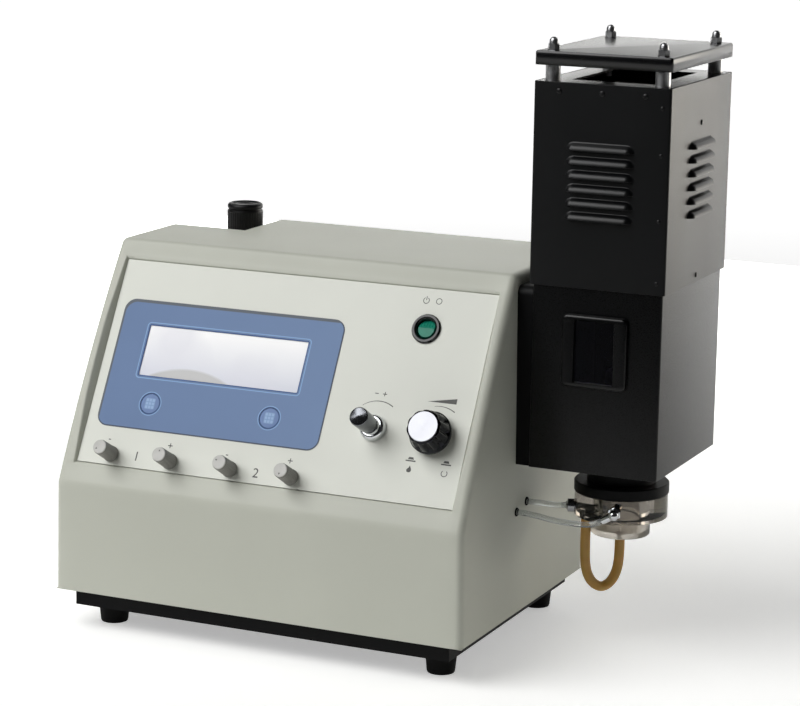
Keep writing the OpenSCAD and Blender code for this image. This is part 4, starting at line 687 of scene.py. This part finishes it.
# Moulded ABS knobs are satin, and the caps are smoother than the grips; the caps' paler grey is painted
# light and the grips' darker grey painted shade; screen ink lies flat
knob_grip_painted_shade = coated("grey knob plastic, painted darker as shade", "#8C8B86", "#82817C", 0.38, 0.02, 0.4, 6.0)
knob_cap_painted_light = coated("cap plastic, painted pale as light", "#C2C1BC", "#BAB9B4", 0.32, 0.01, 0.4, 6.0)
mark_ink = coated("black screen ink", "#4A4B47", "#434440", 0.5, 0.005, 0.6, 10.0)
grip = [(3.2, 1.0), (5.5, 1.0), (5.7, 1.2), (5.7, 2.1), (5.55, 2.3), (5.5, 2.5), (5.3, 17.3),
        (5.25, 17.9), (5.05, 18.4), (4.95, 18.5), (4.9, 18.3)]
cap = [(4.92, 18.2), (4.92, 18.9), (4.8, 19.15), (4.5, 19.3), (4.2, 19.26), (0.01, 19.26)]
for k, turn_to in enumerate((215, 85, 150, 265), 1):
    knob_u, knob_v, body = 38.4 + 46.4 * (k - 1), 7.4, f"range_{k}"
    centre = slope(knob_u, knob_v)
    piece(f"range_grip_{k}", *turned(grip, centre, slope_out, 192, flutes), knob_grip_painted_shade, body,
          [f"range_knob_{k}"], "grey_plastic")
    piece(f"range_cap_{k}", *turned(cap, centre, slope_out, 96), knob_cap_painted_light, body, slot="grey_plastic")
    t = math.radians(turn_to)
    way, side = np.array((math.cos(t), math.sin(t))), np.array((-math.sin(t), math.cos(t)))
    tri = [way * 3.5, way * 1.9 + side * 0.75, way * 2.2, way * 1.9 - side * 0.75]
    tri = np.array([slope(knob_u + q[0], knob_v + q[1], 19.33) for q in tri])
    piece(f"range_arrow_{k}", tri, [(0, 1, 2), (0, 2, 3)], mark_ink, body, slot="black_plastic")


# ---- The power switch ----
# A round black bezel, polished, round a ribbed green rocker that lights up when it is on. The
# bezel mirrors the soft box in one thin line; the rocker is a clear green with a soft gloss.

rim = [(6.95, -6.0), (6.95, 0.5), (7.2, 1.2), (7.8, 1.75), (8.6, 2.0), (9.4, 1.75), (10.05, 1.1),
       (10.35, 0.5), (10.4, 0.0)]
gloss = coated("black gloss plastic", "#101012", "#0C0C0E", 0.14, 0.004, 0.6, 9.0)
piece("switch_bezel", *turned(rim, slope(250.7, 121.3), slope_out, 96), gloss, slot="black_gloss")
paint("power_switch_body", gloss)
paint("power_rocker", coated("green lamp plastic", "#128A70", "#0F7F67", 0.3, 0.01, 0.5, 4.0,
                             shine=0.25))


# ---- The fine adjustment valve ----
# Slim anodised knob with a turned face over a chrome dome nut. Turned faces catch the light in
# wedges, so their shader's grain runs in circles round the knob's axis.

chrome = metal("bright chrome", "#D9DBDE", 0.06, scratch=0.002)
brass = metal("brass", "#C5A560", 0.25)


def lathed(name, colour, roughness, centre, strength):
    """A metal with circular tool marks, 0.25 mm apart, about an axis square to the slope: the grain's
    direction is the cross product of the axis and the way out from the centre, and turns with a pose."""
    finish, shader = new_finish(name)
    away = add(finish, "VectorMath:SUBTRACT", i0=add(finish, "TexCoord", out="Object"),
               i1=tuple(row(centre)))
    round_it = add(finish, "VectorMath:CROSS_PRODUCT", i0=tuple(slope_out), i1=away)
    tangent = add(finish, "VectorMath:NORMALIZE", i0=round_it)
    tangent = add(finish, "VectorTransform", {"vector_type": "VECTOR", "convert_from": "OBJECT",
                                              "convert_to": "WORLD"}, Vector=tangent)
    radius = add(finish, "VectorMath:LENGTH", out="Value", i0=round_it)
    lines = add(finish, "TexNoise", {"noise_dimensions": "1D"}, W=radius, Scale=1000.0 / 0.25, Detail=2.0)
    dull = add(finish, "MapRange", Value=lines, i3=roughness - 0.05, i4=roughness + 0.05)
    relief = add(finish, "Bump", Strength=0.25, Distance=0.00001, Height=lines)
    wire(finish, shader, Base_Color=tone(colour), Metallic=1.0, Roughness=dull, Anisotropic=strength,
         Tangent=tangent, Normal=relief)
    return finish


fine_uv = (229.0, 48.3)
fine = slope(*fine_uv)
barrel = [(3.2, 7.5), (5.4, 7.5), (5.6, 7.8), (6.1, 9.5), (6.4, 11.5), (6.55, 14.0), (6.6, 17.0),
          (6.6, 26.9), (6.5, 27.3), (6.2, 27.6), (5.8, 27.75), (0.01, 29.1)]
piece("fine_knob_turned", *turned(barrel, fine, slope_out, 128),
      lathed("grey anodised aluminium, turned", "#77797D", 0.2, fine, 0.6), "fine_valve",
      ["fine_valve_knob"], "grey_metal")
dome = [(9.2, 0.0), (9.2, 1.2)]
dome += [(6.6 + 2.6 * math.cos(a), 1.6 + 3.9 * math.sin(a)) for a in np.radians(np.arange(0, 91, 11.25))]
dome += [(6.2, 5.55), (6.0, 6.3), (5.6, 6.9), (3.4, 7.0)]
piece("fine_nut_dome", *turned(dome, fine, slope_out, 96), chrome, stands_for=["fine_valve_collar"],
      slot="chrome")
paint("fine_valve_body", brass)
paint("fine_valve_stem", steel)


# ---- The gas valve ----
# A dark nickel-plated grip, scalloped round its sides above a plain skirt, with a bright turned cap.

def lobes(angle, r, h):
    """Ten scallops, 1.9 mm deep: a squared raised cosine of ten times the angle, which fades in
    above the skirt and out below the rim."""
    depth = 1.9 * np.clip((h - 8.6) / 2.5, 0, 1) * np.clip((21.2 - h) / 3.0, 0, 1)
    return r - depth * (0.5 + 0.5 * np.cos(10 * angle)) ** 2


gas_uv = (273.2, 48.3)
gas = slope(*gas_uv)
sides = [(4.0, 5.1), (13.8, 5.1), (14.5, 5.3), (14.8, 5.8), (14.8, 7.9), (14.6, 8.4), (14.2, 8.7)]
sides += [(14.2 - 0.12 * (h - 9) - 0.008 * (h - 9) ** 2, h) for h in np.linspace(9, 19.4, 14)]
sides += [(11.9, 20.3), (11.4, 20.8), (10.95, 21.05), (10.7, 20.9), (10.65, 20.2)]
piece("gas_grip", *turned(sides, gas, slope_out, 240, lobes),
      metal("dark nickel plate", "#2C2C30", 0.16, scratch=0.003), "gas_knob", ["gas_valve_knob"],
      "dark_chrome")
face = [(10.6, 20.2), (10.6, 21.2), (10.45, 21.4), (10.2, 21.5), (9.8, 21.45), (0.01, 22.3)]
piece("gas_cap_turned", *turned(face, gas, slope_out, 128),
      lathed("bright turned aluminium", "#85868A", 0.22, gas, 0.7), "gas_knob", ["gas_knob_cap"],
      "turned_aluminium")
paint("gas_valve_body", brass)
paint("gas_valve_stem", steel)


# ---- The panel's print ----
# Grey screen-printed marks, a hair above the enamel: numbers for the two channels, minus and plus
# beside the knobs, arcs that show which way the valves turn, and symbols for the gas knob.

ink_h = 0.03


def stroke(line, width):
    """The outline of a line of even width, tapered where width is a pair."""
    line = np.asarray(line, float)
    w = np.linspace(*(width if isinstance(width, tuple) else (width, width)), len(line))[:, None] / 2
    t = np.gradient(line, axis=0)
    n = np.stack([-t[:, 1], t[:, 0]], 1) / np.linalg.norm(t, axis=1)[:, None]
    a, b = line + n * w, line - n * w
    return [[b[i], b[i + 1], a[i + 1], a[i]] for i in range(len(line) - 1)]


def numeral(name, text, u0, v0, size):
    """A generic number or sign in the built-in font, filled, its flat mesh laid on the slope."""
    curve = bpy.data.curves.new(name, "FONT")
    curve.body, curve.size, curve.align_x, curve.align_y = text, size, "CENTER", "CENTER"
    drawn = bpy.data.objects.new(name, curve)
    flat = drawn.to_mesh()
    at = np.array([p.co[:2] for p in flat.vertices])
    faces = [tuple(f.vertices) for f in flat.polygons]
    drawn.to_mesh_clear()
    bpy.data.objects.remove(drawn)
    piece(name, slope(u0 + at[:, 0], v0 + at[:, 1], ink_h), faces, mark_ink, slot="black_plastic")


numeral("channel_1", "1", 57.7, 8.0, 9.5)
numeral("channel_2", "2", 150.5, 7.2, 9.5)
signs = (("-", 33.9, 18.6), ("+", 81.6, 18.4), ("-", 126.0, 18.0), ("+", 173.9, 18.6))
for k, (sign, u0, v0) in enumerate(signs, 1):
    numeral(f"range_sign_{k}", sign, u0, v0, 7.5)
marks = []
for line, width in ((arc(246.0, 141.4, 2.1, 120, 420, 20), 0.5), ([(246.0, 141.6), (246.0, 144.4)], 0.5),
                    (arc(255.4, 141.6, 2.0, 0, 360, 24), 0.5),
                    (arc(*fine_uv, 19.4, 128, 58, 24), (0.25, 0.7)),
                    (arc(*gas_uv, 20.6, 102, 58, 24), (0.25, 0.7)),
                    ([(224.2, 72.9), (226.8, 72.9)], 0.55), ([(230.0, 72.9), (233.0, 72.9)], 0.55),
                    ([(231.5, 71.4), (231.5, 74.4)], 0.55)):
    marks += stroke(line, width)
marks += [[(263.0, 71.4), (284.0, 71.4), (284.0, 75.2)]]
for cu, low in ((260.5, 29.0), (286.1, 29.2)):
    marks += [[(cu - 3.6, low), (cu + 3.6, low), (cu + 3.6, low + 0.9), (cu - 3.6, low + 0.9)]]
    marks += [[(cu - 2.2, low + 1.4), (cu + 2.2, low + 1.4), (cu + 1.5, low + 3.0), (cu - 1.5, low + 3.0)]]
flame = [(0, -2.6), (1.5, -2.2), (2.1, -0.9), (1.5, 0.7), (0.3, 2.9), (-0.2, 1.2), (-1.0, 0.5),
         (-1.9, -0.8), (-1.4, -2.2)]
marks += [[(260.5 + a * 0.9, 23.8 + b * 0.9) for a, b in flame]]
marks += stroke(arc(286.1, 23.6, 2.1, 130, 410, 18), 0.55)
counts = np.cumsum([0] + [len(shape) for shape in marks])
piece("panel_print", np.array([slope(*q, ink_h) for shape in marks for q in shape]),
      [range(a, b) for a, b in zip(counts[:-1], counts[1:])], mark_ink, slot="black_plastic")


# ---- The air regulator ----
# It stands behind the cabinet in the notch: cast body, clear bowl and folded bracket, and a black
# ribbed knob with a dished top. The knob is a turned profile whose sides are drawn in between ribs.

# Moulded nylon: a soft grey sheen on black. Acrylic is clear, with a bright edge
nylon = coated("black moulded plastic", "#121213", "#0E0E0F", 0.38, 0.03, 0.5, 20.0, shine=0.3)
acrylic = clear("clear acrylic", "#F4F7F7")


def ribs(angle, r, h):
    """40 grooves between ribs, 0.4 mm deep: a squared raised cosine of 40 times the angle."""
    return r - 0.4 * (0.5 - 0.5 * np.cos(40 * angle)) ** 2 * ((h > 2.0) & (h < 21.5))


profile = [(4.5, 0.0), (12.6, 0.0), (13.2, 0.5), (13.2, 2.4), (13.2, 21.2), (13.2, 21.8), (13.0, 22.6),
           (12.3, 23.1), (12.2, 23.9), (12.9, 24.3), (13.1, 25.0), (13.0, 26.4), (12.4, 27.4), (11.4, 27.9),
           (10.6, 27.8), (9.9, 27.2), (8.6, 26.7), (7.6, 26.9), (7.0, 27.2), (6.2, 27.1), (5.4, 26.6),
           (0.01, 26.5)]
piece("regulator_knob_ribbed", *turned(profile, (42.5, 203.0, 222.0), (0, 0, 1), 320, ribs), nylon,
      "regulator_knob", ["regulator_knob"], "black_plastic")
paint("regulator_body", metal("cast aluminium", "#A9ABAD", 0.45, line_mm=0.6, stretch=(1, 1, 1)))
paint("regulator_bowl", acrylic)
paint("regulator_bracket", steel)


# ---- The flame chamber ----
# Lower box of the tower, folded from sheet and stove enamelled black, on a spacer that carries the
# light path from the cabinet. Its skin is carried round the rounded corners and cut for the window.

def folded(x0, x1, y0, y1, z0, z1, r, holes=()):
    """A box's four walls as one band: columns go round the rounded rectangle, rows go up.
    holes are (wall, from, to, low, high), wall 0 to 3 from the front anticlockwise seen from above."""
    starts = np.array(((x0, y0), (x1, y0), (x1, y1), (x0, y1)))
    ways = np.array(((1, 0), (0, 1), (-1, 0), (0, -1)))
    ring, which, where = [], [], []
    for k in range(4):
        span = (x1 - x0, y1 - y0)[k % 2]
        marks = sorted({r, span - r, *[m for h in holes if h[0] == k for m in h[1:3]]})
        ring += [starts[k] + ways[k] * m for m in marks]
        corner = starts[(k + 1) % 4] - ways[k] * r + ways[(k + 1) % 4] * r
        a0 = math.degrees(math.atan2(*(ring[-1] - corner)[::-1]))
        bend = arc(*corner, r, a0, a0 + 90, 5)[1:-1]
        ring += list(bend)
        which += [k] * len(marks) + [-1] * len(bend)
        where += marks + [0.0] * len(bend)
    levels = sorted({z0, z1, *[m for h in holes for m in h[3:5]]})
    ring = np.array(ring)
    rows = np.stack([np.concatenate([ring, np.full((len(ring), 1), z)], 1) for z in levels])
    which, where, mid_z = np.array(which), np.array(where), (np.array(levels[:-1]) + levels[1:]) / 2
    same, mid = which == np.roll(which, -1), (where + np.roll(where, -1)) / 2
    keep = np.ones((len(levels) - 1, len(ring)), bool)
    for k, a, b, low, high in holes:
        beside = ~(same & (which == k) & (a <= mid) & (mid <= b))
        keep &= ((mid_z < low) | (mid_z > high))[:, None] | beside
    return rows, grid(rows, around=True, keep=keep)


def sheet_metal(made, thick_mm):
    """Gives an open skin its sheet's thickness, inwards."""
    sheet = made.modifiers.new("sheet", "SOLIDIFY")
    sheet.thickness, sheet.offset = thick_mm / 1000.0, -1.0


# Stove enamel is smoother than paint or powder, so the chamber mirrors the room, darkly
oven_black = coated("black stove enamel", "#030405", "#020203", 0.28, 0.03, 0.5, 70.0, shine=0.36)
paint("optics_duct", shade_black)
opening = [(0, 31.6, 59.6, 168.5, 210.5)]
chamber = folded(318.7, 409.9, 88.7, 210.9, 105.9, 240.8, 1.6, opening)
tray = np.stack([np.linspace((318.9, y, 105.9), (409.7, y, 105.9), 3) for y in (210.7, 149.8, 88.9)])
chamber = piece("chamber_skin", *parts(chamber, (tray, grid(tray))), oven_black,
                stands_for=["flame_chamber"], slot="black_steel")
sheet_metal(chamber, 1.2)
soften(chamber, 0.3, 2, 40)


# ---- The window ----
# A thick moulded rim round the chamber's opening, enamelled with it, that holds the dark glass.

def frame_rim(w, h, r, section):
    """A section of (inset from the outer edge, height off the wall) carried round a rounded
    rectangle that faces the front; each corner is an arc whose radius shrinks with the inset."""
    window_z, wall_y = 189.5, 88.7
    rows = []
    for inset, high in section:
        ring = outline_of(burner[0], window_z, w - 2 * inset, h - 2 * inset, max(r - inset, 0.4), 6)
        rows.append(np.stack([ring[:, 0], np.full(len(ring), wall_y - high), ring[:, 1]], 1))
    return rows


window = np.stack(
    frame_rim(46.0, 49.2, 4.0, [(0, 0), (0, 2.2), (0.2, 2.9), (0.6, 3.5), (1.2, 3.85), (2.0, 4.0),
                                (3.5, 4.0)])
    + frame_rim(28.0, 42.0, 0.6, [(-0.5, 4.0), (-0.15, 3.9), (0, 3.6), (0, 0.0), (0, -1.0)]))
piece("window_rim", window, grid(window, around=True), oven_black,
      stands_for=["window_frame"], slot="black_steel")
paint("window_glass", clear("dark viewing glass", "#A8A8CC"))


# ---- The chimney ----
# Upper box, slipped over the chamber and powder coated black, with four banks of six pressed
# louvres: each hood is a quarter-round drawn out of the sheet over its slot, with ball ends.

def hood(width, r, origin, along, out):
    """A louvre's plan, half a stadium round its slot, carried up a section: a fillet of 1.3 mm where
    it leaves the wall, then a quarter-round of radius r to the open lip."""
    t = np.radians(np.linspace(180, 90, 6))
    side = np.stack([-width / 2 + 0 * t, np.cos(t), np.sin(t)], 1)
    path = np.concatenate([side, side[::-1] * (-1, -1, 1)])
    up = np.array((0, 0, 1.0))
    foot = 1.3
    section = [(r + foot * (1 - math.sin(f)), foot * (1 - math.cos(f))) for f in np.radians((0, 22, 45, 62))]
    section += [(r * math.cos(f), r * math.sin(f)) for f in np.radians(np.linspace(26, 90, 7))]
    rows = np.stack([origin + along * (path[:, :1] + reach * path[:, 1:2]) + up * (reach * path[:, 2:3])
                     + out * high for reach, high in section[::-1]])
    return rows, grid(rows)


half = np.array((47.7, 63.2))
(x0, y0), (x1, y1) = burner - half, burner + half
louvre_w, louvre_r, louvre_z, pitch = 37.0, 4.4, 277.7, 9.2
holes, hoods = [], []
for k, out in enumerate(((0, -1, 0), (1, 0, 0), (0, 1, 0), (-1, 0, 0))):
    out = np.array(out, float)
    for z in louvre_z + pitch * np.arange(6):
        reach = louvre_w / 2 + 2.4
        holes.append((k, half[k % 2] - reach, half[k % 2] + reach, z - 0.2, z + 3.2))
        middle = np.array((*(burner + out[:2] * half), z))
        hoods.append(hood(louvre_w, louvre_r, middle, np.array((-out[1], out[0], 0)), out))
# Powder coat is satin with a fine orange peel that breaks up what it mirrors
powder = coated("black powder coat", "#0A0B0D", "#070809", 0.38, 0.04, 0.5, 70.0, shine=0.4)
chimney = piece("chimney_skin", *parts(folded(x0, x1, y0, y1, 231.8, 367.6, 1.6, holes), *hoods),
                powder, stands_for=["chimney_shell"], slot="black_steel")
sheet_metal(chimney, 1.2)
soften(chimney, 0.3, 2, 40)
paint("tower_rivets", powder)


# ---- The heat plate ----
# A folded steel tray in heat-proof black enamel, upside down on four steel pillars under acorn nuts.
# The chimney's top frame is dipped in the same enamel, so both mirror the pale room behind.

enamel = coated("black heat-proof enamel", "#0B0B0D", "#08080A", 0.26, 0.02, 0.7, 30.0)
low, high = 378.1, 387.6
rows = []
for inset, z in ((0, low), (0, high - 1.6), (0.2, high - 0.9), (0.7, high - 0.25), (1.6, high)):
    ring = outline_of(*burner, *(2 * half - 2 * inset), 2 - inset, 6)
    rows.append(np.concatenate([ring, np.full((len(ring), 1), z)], 1))
rows = np.stack(rows)
lid = np.arange(rows.shape[0] * rows.shape[1])[-rows.shape[1]:]
plate = piece("heat_plate_folded", rows, [*grid(rows, around=True), lid], enamel,
              stands_for=["heat_plate"], slot="bare_steel")
sheet_metal(plate, 1.5)
paint("chimney_top_frame", enamel)
paint("plate_pillars", metal("bright turned steel", "#D4D5D6", 0.38))
paint("acorn_nuts", steel)


# ---- Burner and mixing chamber ----
# Turned stainless burner head, a black flange, and under it the clear acrylic mixing chamber and
# drain cup with their metal fittings. The chamber is clear but smoky, the cup blurred by frosting.

paint("burner_head", metal("turned stainless steel", "#C9C7C2", 0.45))
paint("mixing_flange", shade_black)
paint("mixing_chamber", clear("smoky clear acrylic", "#98928A", 0.04))
paint("drain_cup", clear("frosted clear acrylic", "#CFC9C0", 0.28))
paint("nebuliser", metal("polished stainless steel", "#9C9DA0", 0.18))
paint("gas_elbow", chrome)
collar = [(2.05, 0.0), (2.05, 0.9), (2.3, 1.15), (2.7, 1.1), (3.0, 0.7), (3.1, 0.0)]
eyelets = [turned(collar, (308.8, *at), (1, 0, 0), 48) for at in ((111.7, 75.3), (93.6, 71.8))]
piece("tube_eyelets", *parts(*eyelets), rubber, stands_for=["tube_grommets"], slot="rubber")


# ---- The back ----
# Stove-enamelled rear cover with slots, mains inlet, and brass hose spigots.

paint("rear_cover", coated("grey stove enamel", "#C4C5BA", "#C0C1B6", 0.45, 0.03, 0.6, 80.0))
paint("power_inlet", nylon)
paint("hose_spigots", brass)


# ---- Inside ----
# What the cabinet hides: boards, controls, the photocell block with its filters, the transformer.

for name in ("display_module", "range_shaft_1", "range_shaft_2", "range_shaft_3", "range_shaft_4"):
    paint(name, steel)
paint("range_pots", nylon)
paint("display_board", coated("green circuit board", "#1F6B3F", "#1B6039", 0.35, 0.03, 1.2, 20.0))
paint("optics_block", metal("black anodised aluminium", "#1B1B1D", 0.5))
paint("optical_filters", clear("coloured filter glass", "#A04050"))
paint("power_supply", coated("varnished transformer iron", "#4A4440", "#3D3935", 0.5, 0.1, 0.6, 12.0))
